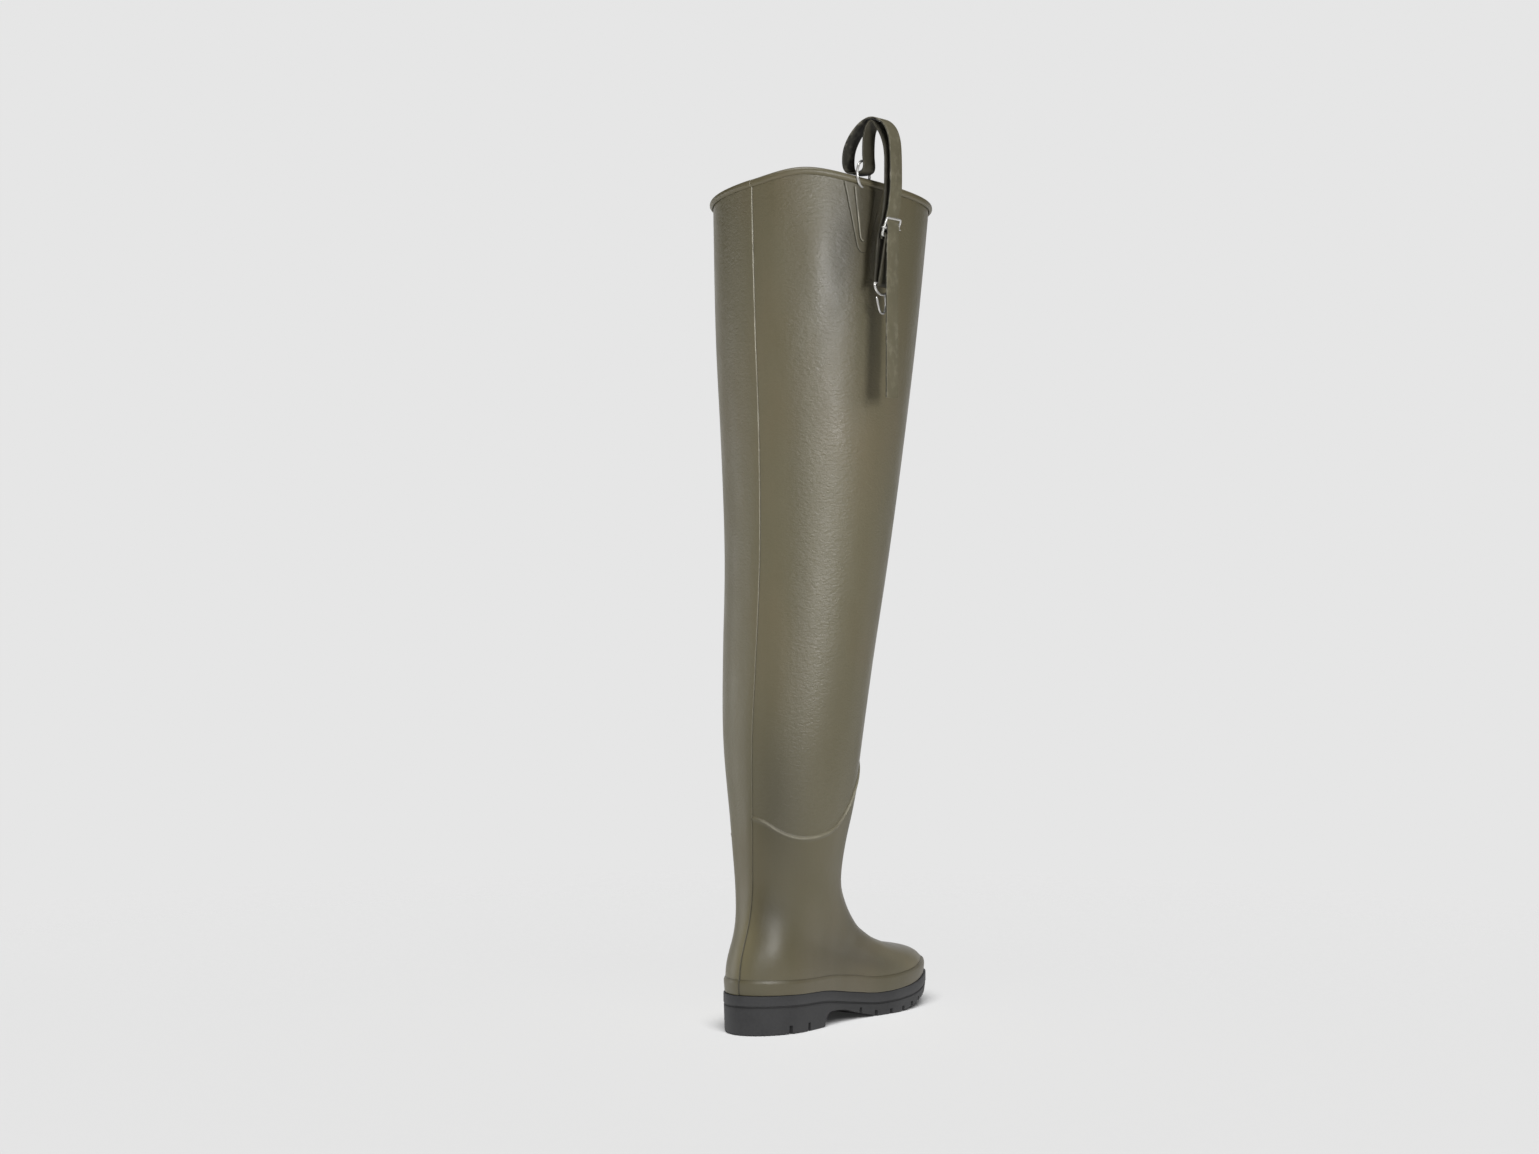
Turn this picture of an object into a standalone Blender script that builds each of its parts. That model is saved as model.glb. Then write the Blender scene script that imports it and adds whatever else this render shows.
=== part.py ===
"""Thigh wader, right boot: hollow rubber leg and foot on a lugged sole, with its strap, buckle and snap hook.

Metres. Toe towards +X, outer side of the foot towards -Y, up +Z, origin on the floor under the heel.
The upper and what lies on it come from one surface, boot_point(level, turn): level is the height of a section
at the back of the leg, and turn runs once round it from the back (0) over the outer side to the front (0.5).
"""

from collections import namedtuple
from math import cos, pi, sin

import bmesh
import bpy
import numpy as np

# Sizes of the sole
SOLE_LENGTH = 0.3035
HEEL_BACK = -0.0439
HEEL_BLOCK_LENGTH = 0.0885
ARCH_HEIGHT = 0.0140
ARCH_END_HEIGHT = 0.0102
ARCH_END_ALONG = 0.445
TREAD_START_ALONG = 0.462
TREAD_START_RISE = 0.0084
TREAD_DOWN_ALONG = 0.583
SPRING_START_ALONG = 0.685
SPRING_POWER = 1.15
TOE_SPRING = 0.0180
TREAD_BEVEL = 0.0022
SIDE_BAND = 0.0095
SIDE_GROOVE = 0.0018
SIDE_GROOVE_DEPTH = 0.0012
SIDE_TAPER = 0.0012
HEEL_GROOVE_WIDTH = 0.0050
HEEL_GROOVE_DEPTH = 0.0084
LUG_GROOVE_WIDTH = 0.0052
LUG_GROOVE_DEPTH = 0.0052
HEEL_GROOVES_X = (-0.0083, 0.0171)
FOREFOOT_GROOVES_X = (0.1060, 0.1290, 0.1500, 0.1690, 0.1850, 0.2000)

# Sizes of the upper
GAP = 0.0003
LEG_WALL = 0.0022
BOOT_STEP = 0.0009
SEAM_STEP = 0.0009
SEAM_LAP_TURN = 0.04
SEAM_WIDTH_TURN = 0.0016
BINDING_DROP = 0.0054
BINDING_BULGE = 0.0033
BINDING_INNER_DROP = 0.0045
BINDING_THICKNESS = 0.0014
FOXING_HEEL_LEVEL = 0.0525
FOXING_FRONT_LEVEL = 0.0580
FOXING_THICKNESS = 0.0012
INSOLE_THICKNESS = 0.0040
INSOLE_SIDE_GAP = 0.0012
COLUMNS = 44

# Sizes of the strap, its patch and its metal
RING_TURN = 0.169
RING_SWING = 60
RING_RADIUS = 0.0125
RING_WIRE = 0.0013
RING_CLEARANCE = 0.0004
RING_ABOVE_EDGE = 0.0050
PATCH_TOP_WIDTH = 0.043
PATCH_FOOT_WIDTH = 0.010
PATCH_LENGTH = 0.062
PATCH_THICKNESS = 0.0011
TAB_TOP_WIDTH = 0.023
TAB_FOOT_WIDTH = 0.008
TAB_START = 0.003
TAB_LENGTH = 0.049
TAB_THICKNESS = 0.0011
STRAP_ZERO_HEIGHT = 0.8007
STRAP_WIDTH = 0.020
STRAP_THICKNESS = 0.0018
STRAP_STEP = 0.0045
TAIL_OUT = 0.0315
TAIL_END_UP = -0.2045
BUCKLE_WIDTH = 0.0265
BUCKLE_WIRE = 0.0011
BUCKLE_BAR_WIRE = 0.0009
BUCKLE_TOP = (0.0337, -0.0378)
BUCKLE_FOOT = (0.0280, -0.0535)
BUCKLE_BAR_SHARE = 0.60
FOLD_RADIUS = 0.0024
HOOK_WIRE = 0.0011
HOOK_EYE_WIDTH = 0.0272
HOOK_EYE_DROP = 0.0100
HOOK_BAR = (0.0203, -0.0975)

# Outline of the sole from above: share of the length from the heel, middle line and half width there
PlanStation = namedtuple("PlanStation", "along centre half_width")
SOLE_PLAN = (
    PlanStation(0.05, 0.0000, 0.0269),
    PlanStation(0.13, 0.0000, 0.0392),
    PlanStation(0.22, -0.0008, 0.0408),
    PlanStation(0.34, -0.0025, 0.0385),
    PlanStation(0.46, -0.0043, 0.0372),
    PlanStation(0.56, -0.0040, 0.0410),
    PlanStation(0.66, -0.0022, 0.0487),
    PlanStation(0.74, 0.0000, 0.0523),
    PlanStation(0.82, 0.0016, 0.0510),
    PlanStation(0.90, 0.0030, 0.0427),
    PlanStation(0.96, 0.0038, 0.0302),
)

# Top edge of the sole, seen from the side
TopStation = namedtuple("TopStation", "along height")
SOLE_TOP = (
    TopStation(0.00, 0.0377),
    TopStation(0.15, 0.0366),
    TopStation(0.30, 0.0345),
    TopStation(0.45, 0.0280),
    TopStation(0.60, 0.0230),
    TopStation(0.75, 0.0252),
    TopStation(0.90, 0.0315),
    TopStation(1.00, 0.0330),
)

# Sections of the upper, from the feather line to the collar: height at the back and at the front, where the back
# and the front stand, half width, how far the middle leans outwards, and how much the outline is the foot's
Section = namedtuple("Section", "level back front front_height half_width lean foot")
SECTIONS = (
    Section(0.0380, -0.0392, 0.2530, 0.0333, 0.0497, 0.0000, 1.00),
    Section(0.0500, -0.0402, 0.2540, 0.0415, 0.0505, 0.0000, 1.00),
    Section(0.0620, -0.0390, 0.2480, 0.0485, 0.0500, 0.0000, 1.00),
    Section(0.0720, -0.0365, 0.2370, 0.0545, 0.0485, 0.0000, 0.95),
    Section(0.0800, -0.0335, 0.2210, 0.0588, 0.0468, 0.0000, 0.86),
    Section(0.0880, -0.0300, 0.1970, 0.0626, 0.0452, 0.0000, 0.72),
    Section(0.0980, -0.0260, 0.1660, 0.0695, 0.0442, 0.0000, 0.52),
    Section(0.1120, -0.0218, 0.1330, 0.0865, 0.0440, 0.0000, 0.27),
    Section(0.1250, -0.0196, 0.1120, 0.1090, 0.0444, 0.0000, 0.09),
    Section(0.1400, -0.0184, 0.1000, 0.1360, 0.0452, 0.0000, 0.00),
    Section(0.1770, -0.0198, 0.1022, 0.1770, 0.0508, 0.0008, 0.00),
    Section(0.2150, -0.0219, 0.1100, 0.2150, 0.0579, 0.0016, 0.00),
    Section(0.2730, -0.0245, 0.1136, 0.2730, 0.0659, 0.0028, 0.00),
    Section(0.3500, -0.0208, 0.1230, 0.3500, 0.0727, 0.0044, 0.00),
    Section(0.4460, -0.0170, 0.1425, 0.4460, 0.0788, 0.0065, 0.00),
    Section(0.5630, -0.0218, 0.1622, 0.5630, 0.0872, 0.0090, 0.00),
    Section(0.6610, -0.0308, 0.1780, 0.6610, 0.0935, 0.0110, 0.00),
    Section(0.7730, -0.0392, 0.1953, 0.7730, 0.0972, 0.0134, 0.00),
    Section(0.8300, -0.0425, 0.2030, 0.8300, 0.0985, 0.0145, 0.00),
)

# Top edge of the thicker lower boot: height over the turn from the back to the front, the same on both sides
EdgeStation = namedtuple("EdgeStation", "turn height")
BOOT_EDGE = (
    EdgeStation(0.00, 0.2050),
    EdgeStation(0.04, 0.2000),
    EdgeStation(0.07, 0.1930),
    EdgeStation(0.11, 0.1868),
    EdgeStation(0.15, 0.1845),
    EdgeStation(0.20, 0.1868),
    EdgeStation(0.25, 0.1950),
    EdgeStation(0.29, 0.2110),
    EdgeStation(0.34, 0.2375),
    EdgeStation(0.42, 0.2640),
    EdgeStation(0.50, 0.2720),
)

# Top edge of the upper: height over the turn, highest behind the outer side, lowest at the inner side
CollarStation = namedtuple("CollarStation", "turn height")
COLLAR_EDGE = (
    CollarStation(-0.380, 0.7840),
    CollarStation(-0.250, 0.7860),
    CollarStation(-0.110, 0.7910),
    CollarStation(0.000, 0.8000),
    CollarStation(0.085, 0.8102),
    CollarStation(0.170, 0.8018),
    CollarStation(0.250, 0.7953),
    CollarStation(0.350, 0.7912),
    CollarStation(0.480, 0.7860),
    CollarStation(0.620, 0.7840),
)

# Rows of the upper: shares of the way up the foxing band, fixed levels in the foot above it, and shares of the way
# up to the lower boot's edge and on to the collar
BAND_SHARES = (0.00, 0.50, 1.00)
FOOT_LEVELS = (0.0640, 0.0705, 0.0770, 0.0840, 0.0910, 0.1000, 0.1110, 0.1230, 0.1370)
BOOT_SHARES = (0.50, 1.00)
LEG_SHARES = (0.07, 0.19, 0.32, 0.45, 0.58, 0.70, 0.82, 0.92, 1.00)
EDGE_RISE = 0.0009

# Middle line of the strap seen along the foot, out from the wall at the ring and up from the strap's zero height:
# up the inner lane, down through the ring, up inside the boot, over and down the outer lane
StrapStation = namedtuple("StrapStation", "out up")
STRAP_LOOP = (
    StrapStation(0.0216, -0.0560),
    StrapStation(0.0256, -0.0400),
    StrapStation(0.0294, -0.0120),
    StrapStation(0.0298, 0.0160),
    StrapStation(0.0270, 0.0350),
    StrapStation(0.0205, 0.0475),
    StrapStation(0.0138, 0.0547),
    StrapStation(0.0080, 0.0480),
    StrapStation(0.0058, 0.0360),
    StrapStation(0.0055, 0.0240),
    StrapStation(0.0064, 0.0140),
    StrapStation(0.0052, 0.0092),
    StrapStation(0.0000, 0.0072),
    StrapStation(-0.0070, 0.0070),
    StrapStation(-0.0125, 0.0083),
    StrapStation(-0.0157, 0.0124),
    StrapStation(-0.0168, 0.0190),
    StrapStation(-0.0157, 0.0290),
    StrapStation(-0.0115, 0.0385),
    StrapStation(-0.0042, 0.0478),
    StrapStation(0.0045, 0.0545),
    StrapStation(0.0135, 0.0572),
    StrapStation(0.0222, 0.0548),
    StrapStation(0.0296, 0.0480),
    StrapStation(0.0338, 0.0380),
    StrapStation(0.0354, 0.0240),
    StrapStation(0.0358, -0.0030),
    StrapStation(0.0340, -0.0250),
)

# The bent wire of the hook below its eye: place along the bar and drop below it
HookStation = namedtuple("HookStation", "along drop")
HOOK_BEND = (
    HookStation(0.0052, 0.0090),
    HookStation(0.0062, 0.0130),
    HookStation(0.0067, 0.0190),
    HookStation(0.0054, 0.0243),
    HookStation(0.0022, 0.0273),
    HookStation(-0.0016, 0.0268),
    HookStation(-0.0042, 0.0238),
    HookStation(-0.0066, 0.0186),
    HookStation(-0.0090, 0.0126),
)

Colour = namedtuple("Colour", "red green blue roughness metallic")
COLOURS = {
    "outsole": Colour(0.035, 0.036, 0.038, 0.75, 0.0),
    "insole": Colour(0.030, 0.060, 0.220, 0.90, 0.0),
    "upper": Colour(0.125, 0.115, 0.075, 0.45, 0.0),
    "foxing_band": Colour(0.135, 0.124, 0.082, 0.45, 0.0),
    "collar_binding": Colour(0.110, 0.102, 0.066, 0.45, 0.0),
    "strap_patch": Colour(0.120, 0.110, 0.072, 0.45, 0.0),
    "ring_tab": Colour(0.120, 0.110, 0.072, 0.45, 0.0),
    "collar_ring": Colour(0.550, 0.540, 0.510, 0.30, 1.0),
    "strap": Colour(0.105, 0.098, 0.062, 0.55, 0.0),
    "buckle": Colour(0.480, 0.460, 0.410, 0.35, 1.0),
    "snap_hook": Colour(0.550, 0.540, 0.510, 0.30, 1.0),
}


def start_scene():
    """Clears the scene and gives the collections of the parts and of the cutters."""
    for old in list(bpy.data.objects):
        bpy.data.objects.remove(old)
    made = []
    for name in ("wader", "cutters"):
        collection = bpy.data.collections.new(name)
        bpy.context.scene.collection.children.link(collection)
        made.append(collection)
    return made


def curve_through(known_x, known_y, x):
    """Smooth curve through the known points that stays between its neighbours, flat beyond the ends."""
    known_x = np.asarray(known_x, float)
    known_y = np.asarray(known_y, float)
    x = np.clip(np.asarray(x, float), known_x[0], known_x[-1])
    step = np.diff(known_x)
    rise = np.diff(known_y) / step
    slope = np.concatenate([rise[:1], (rise[:-1] + rise[1:]) / 2, rise[-1:]])
    steepest = 3 * np.minimum(np.abs(np.append(rise, rise[-1])), np.abs(np.insert(rise, 0, rise[0])))
    slope = np.clip(slope, -steepest, steepest)
    slope[1:-1][rise[:-1] * rise[1:] <= 0] = 0
    i = np.clip(np.searchsorted(known_x, x, side="right") - 1, 0, len(step) - 1)
    t = (x - known_x[i]) / step[i]
    start = (1 + 2 * t) * (1 - t) ** 2 * known_y[i] + t * (1 - t) ** 2 * step[i] * slope[i]
    end = t**2 * (3 - 2 * t) * known_y[i + 1] - t**2 * (1 - t) * step[i] * slope[i + 1]
    return start + end


def along_of(turn):
    """Share of the length that a turn round an outline has reached, from the back (0) to the front (1)."""
    return (1 - np.cos(2 * pi * np.asarray(turn, float))) / 2


def plan_fullness(along):
    """Middle line and fullness of the sole's outline; the fullness times sin(turn) is the half width."""
    stations = np.array(SOLE_PLAN)
    fullness = stations[:, 2] / (2 * np.sqrt(stations[:, 0] * (1 - stations[:, 0])))
    along = np.clip(along, stations[0, 0], stations[-1, 0])
    return curve_through(stations[:, 0], stations[:, 1], along), curve_through(stations[:, 0], fullness, along)


def sole_top(along):
    stations = np.array(SOLE_TOP)
    return curve_through(stations[:, 0], stations[:, 1], along)


def sole_outline(turn, inset):
    """Outline of the sole from above, drawn in by inset."""
    turn = np.asarray(turn, float)
    along = along_of(turn)
    centre, fullness = plan_fullness(along)
    x = HEEL_BACK + inset + (SOLE_LENGTH - 2 * inset) * along
    y = centre - np.sin(2 * pi * turn) * (fullness - inset)
    return x, y


def boot_point(level, turn):
    """Point of the upper's outer face before its steps, for arrays of levels and turns."""
    level, turn = np.broadcast_arrays(np.asarray(level, float), np.asarray(turn, float))
    table = np.array(SECTIONS)
    back, front, front_height, half_width, lean, foot = (
        curve_through(table[:, 0], table[:, column], level) for column in range(1, 7)
    )
    along = along_of(turn)
    centre, fullness = plan_fullness(along)
    foot_fullness = half_width * fullness / max(station.half_width for station in SOLE_PLAN)
    widest = half_width * (1 - foot) + foot_fullness * foot
    x = back + (front - back) * along
    y = centre * foot - lean - np.sin(2 * pi * turn) * widest
    sole_line = SOLE_TOP[0].height * (1 - along) + SOLE_TOP[-1].height * along
    z = level * (1 - along) + front_height * along + foot * (sole_top(along) - sole_line)
    return np.stack([x, y, z], axis=-1)


def boot_normal(level, turn):
    """Outward unit normal of the upper's outer face."""
    level_step = 0.0004
    turn_step = 0.0008
    up = boot_point(level + level_step, turn) - boot_point(level - level_step, turn)
    round_ = boot_point(level, turn + turn_step) - boot_point(level, turn - turn_step)
    normal = np.cross(round_, up)
    return normal / np.linalg.norm(normal, axis=-1, keepdims=True)


def boot_skin(level, turn, offset):
    """Point at a distance outside (or, below zero, inside) the upper's outer face."""
    return boot_point(level, turn) + boot_normal(level, turn) * np.asarray(offset)[..., None]


def boot_edge(turn):
    """Height of the lower boot's top edge."""
    stations = np.array(BOOT_EDGE)
    turn = np.abs(np.asarray(turn, float) % 1)
    return curve_through(stations[:, 0], stations[:, 1], np.minimum(turn, 1 - turn))


def collar_level(turn):
    """Height of the upper's top edge."""
    stations = np.array(COLLAR_EDGE)
    first = stations[0, 0]
    return curve_through(stations[:, 0], stations[:, 1], (np.asarray(turn, float) - first) % 1 + first)


def seam_step(turn):
    """The inner side's sheet laps over the back seam: a step at turn 0 that fades out round the inner side."""
    turn = (np.asarray(turn, float) + 0.5) % 1 - 0.5
    return np.where(turn <= 0, SEAM_STEP * np.clip(1 + turn / SEAM_LAP_TURN, 0, 1), 0)


def column_turns():
    """Turns of the upper's columns, with one more on each side of the back seam for its step."""
    even = np.arange(COLUMNS) / COLUMNS
    beside_seam = (SEAM_WIDTH_TURN, 1 - 0.5 / COLUMNS)
    return np.sort(np.append(even, beside_seam))


def add_object(collection, name, mesh_data):
    """Makes an object of (points, faces), with its faces turned outwards and its own material."""
    points, faces = mesh_data
    mesh = bpy.data.meshes.new(name)
    mesh.from_pydata([tuple(point) for point in points], [], [tuple(face) for face in faces])
    shape = bmesh.new()
    shape.from_mesh(mesh)
    bmesh.ops.recalc_face_normals(shape, faces=shape.faces)
    shape.to_mesh(mesh)
    shape.free()
    made = bpy.data.objects.new(name, mesh)
    collection.objects.link(made)
    if name in COLOURS:
        made.data.materials.append(material_of(name))
    else:
        made.hide_render = True
        made.display_type = "WIRE"
    return made


def material_of(name):
    colour = COLOURS[name]
    material = bpy.data.materials.new(name)
    material.use_nodes = True
    shader = material.node_tree.nodes["Principled BSDF"]
    shader.inputs["Base Color"].default_value = (colour.red, colour.green, colour.blue, 1)
    shader.inputs["Roughness"].default_value = colour.roughness
    shader.inputs["Metallic"].default_value = colour.metallic
    return material


def cut(target, cutter, operation="DIFFERENCE"):
    modifier = target.modifiers.new(cutter.name, "BOOLEAN")
    modifier.operation = operation
    modifier.solver = "EXACT"
    modifier.object = cutter


def ring_faces(first, second):
    """Faces between two closed rows of point numbers of the same length."""
    count = len(first)
    return [(first[j], first[(j + 1) % count], second[(j + 1) % count], second[j]) for j in range(count)]


def closed_rows(rows, close_ends=False, close_tube=False):
    """Points and faces of a stack of closed rows, joined last to first (tube) or capped across (ends)."""
    rows = np.asarray(rows, float)
    row_count, column_count = rows.shape[:2]
    numbers = np.arange(row_count * column_count).reshape(row_count, column_count).tolist()
    faces = []
    for first, second in zip(numbers, numbers[1:]):
        faces += ring_faces(first, second)
    if close_tube:
        faces += ring_faces(numbers[-1], numbers[0])
    if close_ends:
        for row in (numbers[0], numbers[-1]):
            faces += ladder(row)
    return rows.reshape(-1, 3), faces


def ladder(row):
    """Faces across a closed row that is even about its first point: rungs join the outer to the inner side."""
    count = len(row)
    half = count // 2
    faces = [(row[0], row[1], row[count - 1])]
    for j in range(1, half - 1):
        faces.append((row[j], row[j + 1], row[count - j - 1], row[count - j]))
    faces.append((row[half - 1], row[half], row[half + 1]))
    return faces


def prism(profile, half_width):
    """Solid of a side profile of (x, z) points, taken across the foot."""
    count = len(profile)
    points = [(x, y, z) for y in (-half_width, half_width) for x, z in profile]
    faces = [tuple(range(count)), tuple(range(count, 2 * count))]
    faces += ring_faces(list(range(count)), list(range(count, 2 * count)))
    return points, faces


def tube(centres, radius, sides=8, closed=False):
    """Points and faces of a round wire along a line of centres, its ends capped unless it is closed."""
    centres = np.asarray(centres, float)
    count = len(centres)
    if closed:
        tangents = np.roll(centres, -1, axis=0) - np.roll(centres, 1, axis=0)
    else:
        tangents = np.gradient(centres, axis=0)
    tangents /= np.linalg.norm(tangents, axis=1, keepdims=True)
    middle = centres - centres.mean(axis=0)
    plane = np.linalg.svd(middle)[2][2]
    angles = np.arange(sides) * 2 * pi / sides
    rows = []
    for centre, tangent in zip(centres, tangents):
        side = np.cross(tangent, plane)
        side /= np.linalg.norm(side)
        up = np.cross(side, tangent)
        rows.append([centre + radius * (cos(a) * side + sin(a) * up) for a in angles])
    numbers = np.arange(count * sides).reshape(count, sides).tolist()
    faces = []
    for first, second in zip(numbers, numbers[1:]):
        faces += ring_faces(first, second)
    if closed:
        faces += ring_faces(numbers[-1], numbers[0])
    else:
        faces += [tuple(numbers[0]), tuple(numbers[-1])]
    return np.array(rows).reshape(-1, 3), faces


def build_outsole(parts, cutters):
    turns = np.arange(COLUMNS) / COLUMNS
    along = along_of(turns)
    spring = toe_rise(along)
    top = sole_top(along)
    groove_top = top - SIDE_BAND
    groove_foot = groove_top - SIDE_GROOVE
    rows = []
    for height, inset in (
        (spring, SIDE_TAPER + TREAD_BEVEL),
        (spring + TREAD_BEVEL, SIDE_TAPER),
        (groove_foot, 0.0004),
        (groove_foot + 0.0002, SIDE_GROOVE_DEPTH),
        (groove_top, SIDE_GROOVE_DEPTH),
        (groove_top + 0.0002, 0.0),
        (top - 0.0008, 0.0),
        (top, 0.0008),
    ):
        x, y = sole_outline(turns, inset)
        rows.append(np.stack([x, y, height], axis=-1))
    outsole = add_object(parts, "outsole", closed_rows(rows, close_ends=True))
    cut(outsole, add_object(cutters, "arch_cutter", arch_profile()))
    for number, x in enumerate(HEEL_GROOVES_X):
        profile = groove_profile(x, HEEL_GROOVE_WIDTH, HEEL_GROOVE_DEPTH)
        cut(outsole, add_object(cutters, f"heel_groove_cutter_{number}", prism(profile, 0.08)))
    for number, x in enumerate(FOREFOOT_GROOVES_X):
        roof = float(tread_rise((x - HEEL_BACK) / SOLE_LENGTH)) + LUG_GROOVE_DEPTH
        profile = groove_profile(x, LUG_GROOVE_WIDTH, roof)
        cut(outsole, add_object(cutters, f"lug_groove_cutter_{number}", prism(profile, 0.08)))


def toe_rise(along):
    """How far the tread has left the floor towards the toe."""
    return TOE_SPRING * np.clip((along - SPRING_START_ALONG) / (1 - SPRING_START_ALONG), 0, 1) ** SPRING_POWER


def tread_rise(along):
    """Height of the forefoot's tread, which leaves the floor towards the arch and towards the toe."""
    to_arch = np.clip((TREAD_DOWN_ALONG - along) / (TREAD_DOWN_ALONG - TREAD_START_ALONG), 0, 1)
    return TREAD_START_RISE * to_arch + toe_rise(along)


def groove_profile(x, width, roof):
    """A groove across the tread, seen from the side."""
    half = width / 2
    return [(x - half, -0.01), (x + half, -0.01), (x + half * 0.7, roof), (x - half * 0.7, roof)]


def arch_profile():
    """The hollow between the heel block and the ball of the foot, seen from the side."""
    breast = HEEL_BACK + HEEL_BLOCK_LENGTH
    arch_end, tread_start, tread_down = (
        HEEL_BACK + SOLE_LENGTH * along for along in (ARCH_END_ALONG, TREAD_START_ALONG, TREAD_DOWN_ALONG)
    )
    profile = [
        (breast, -0.01),
        (breast, 0.001),
        (breast + 0.0015, ARCH_HEIGHT * 0.50),
        (breast + 0.0050, ARCH_HEIGHT * 0.82),
        (breast + 0.0110, ARCH_HEIGHT),
        (arch_end, ARCH_END_HEIGHT),
        (tread_start, TREAD_START_RISE),
        (tread_down, 0.0),
        (tread_down, -0.01),
    ]
    return prism(profile, 0.08)


def build_insole(parts):
    turns = np.arange(COLUMNS) / COLUMNS
    feather = boot_skin(SECTIONS[0].level, turns, np.full(COLUMNS, -LEG_WALL - INSOLE_SIDE_GAP))
    floor = sole_top(along_of(turns)) + GAP
    rows = []
    for rise in (0.0, INSOLE_THICKNESS):
        row = feather.copy()
        row[:, 2] = floor + rise
        rows.append(row)
    add_object(parts, "insole", closed_rows(rows, close_ends=True))


def band_levels(turns):
    """Levels of the rows behind the foxing band, whose top stands higher round the forefoot than round the heel."""
    heights = (FOXING_HEEL_LEVEL, FOXING_HEEL_LEVEL, FOXING_FRONT_LEVEL, FOXING_FRONT_LEVEL)
    top = curve_through((0.0, 0.2, 0.5, 1.0), heights, along_of(turns))
    feather = SECTIONS[0].level
    return [feather + share * (top - feather) for share in BAND_SHARES]


def upper_rows():
    """Level and outward step of each row of the upper's outer face, from the feather line to the collar."""
    turns = column_turns()
    edge = boot_edge(turns)
    collar = collar_level(turns)
    seam = seam_step(turns)
    rows = [(levels, BOOT_STEP + seam) for levels in band_levels(turns)]
    rows += [(np.full(len(turns), level), BOOT_STEP + seam) for level in FOOT_LEVELS]
    rows += [(FOOT_LEVELS[-1] + share * (edge - FOOT_LEVELS[-1]), BOOT_STEP + seam) for share in BOOT_SHARES]
    rows.append((edge + EDGE_RISE, seam))
    rows += [(edge + share * (collar - edge), seam) for share in LEG_SHARES]
    return turns, rows


def build_upper(parts):
    turns, rows = upper_rows()
    outer = [boot_skin(level, turns, step) for level, step in rows]
    inner = [boot_skin(level, turns, np.full(len(turns), -LEG_WALL)) for level, step in rows]
    floor = sole_top(along_of(turns)) + GAP
    outer[0][:, 2] = floor
    inner[0][:, 2] = floor
    return add_object(parts, "upper", closed_rows(outer + inner[::-1], close_tube=True))


def build_foxing_band(parts):
    turns = column_turns()
    rows = band_levels(turns)
    inner_step = BOOT_STEP + seam_step(turns) + GAP
    inner = [boot_skin(levels, turns, inner_step) for levels in rows]
    outer = [boot_skin(levels, turns, inner_step + FOXING_THICKNESS) for levels in rows]
    floor = sole_top(along_of(turns)) + GAP
    inner[0][:, 2] = floor
    outer[0][:, 2] = floor
    add_object(parts, "foxing_band", closed_rows(outer + inner[::-1], close_tube=True))


def build_collar_binding(parts):
    """Bead folded over the collar: a rounded channel round both faces of the edge."""
    turns = column_turns()
    collar = collar_level(turns)
    outside = seam_step(turns) + GAP
    inside = np.full(len(turns), -LEG_WALL - GAP)
    thick = BINDING_THICKNESS
    over = GAP + thick
    ring = [
        boot_skin(collar - BINDING_DROP, turns, outside),
        boot_skin(collar - BINDING_DROP, turns, outside + thick),
        boot_skin(collar - BINDING_DROP * 0.55, turns, outside + BINDING_BULGE),
        boot_skin(collar + over * 0.1, turns, outside + BINDING_BULGE * 0.8),
        boot_skin(collar + over, turns, outside - LEG_WALL * 0.1),
        boot_skin(collar + over, turns, inside + LEG_WALL * 0.1),
        boot_skin(collar, turns, inside - thick),
        boot_skin(collar - BINDING_INNER_DROP, turns, inside - thick * 0.8),
        boot_skin(collar - BINDING_INNER_DROP, turns, inside),
        boot_skin(collar + GAP, turns, inside),
        boot_skin(collar + GAP, turns, outside),
    ]
    return add_object(parts, "collar_binding", closed_rows(ring, close_tube=True))


def ring_frame():
    """Middle of the wall at the collar where the ring hangs, with its outward, forward and upward directions."""
    level = collar_level(RING_TURN)
    centre = boot_skin(level, np.array(RING_TURN), np.array(-LEG_WALL / 2))
    outward = boot_normal(level, np.array(RING_TURN))
    outward[2] = 0
    outward /= np.linalg.norm(outward)
    upward = np.array([0.0, 0.0, 1.0])
    return centre, outward, np.cross(upward, outward), upward


def slab(inner, outer):
    """Solid between two grids of points with the same rows and columns."""
    row_count, column_count = inner.shape[:2]
    points = np.concatenate([inner.reshape(-1, 3), outer.reshape(-1, 3)])
    number = np.arange(row_count * column_count).reshape(row_count, column_count)
    faces = []
    for shift in (0, row_count * column_count):
        for i in range(row_count - 1):
            for j in range(column_count - 1):
                corners = (number[i, j], number[i, j + 1], number[i + 1, j + 1], number[i + 1, j])
                faces.append(tuple(int(corner) + shift for corner in corners))
    rim = number[0].tolist() + number[1:, -1].tolist() + number[-1, -2::-1].tolist() + number[-2:0:-1, 0].tolist()
    faces += ring_faces(rim, [corner + row_count * column_count for corner in rim])
    return points, faces


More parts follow.
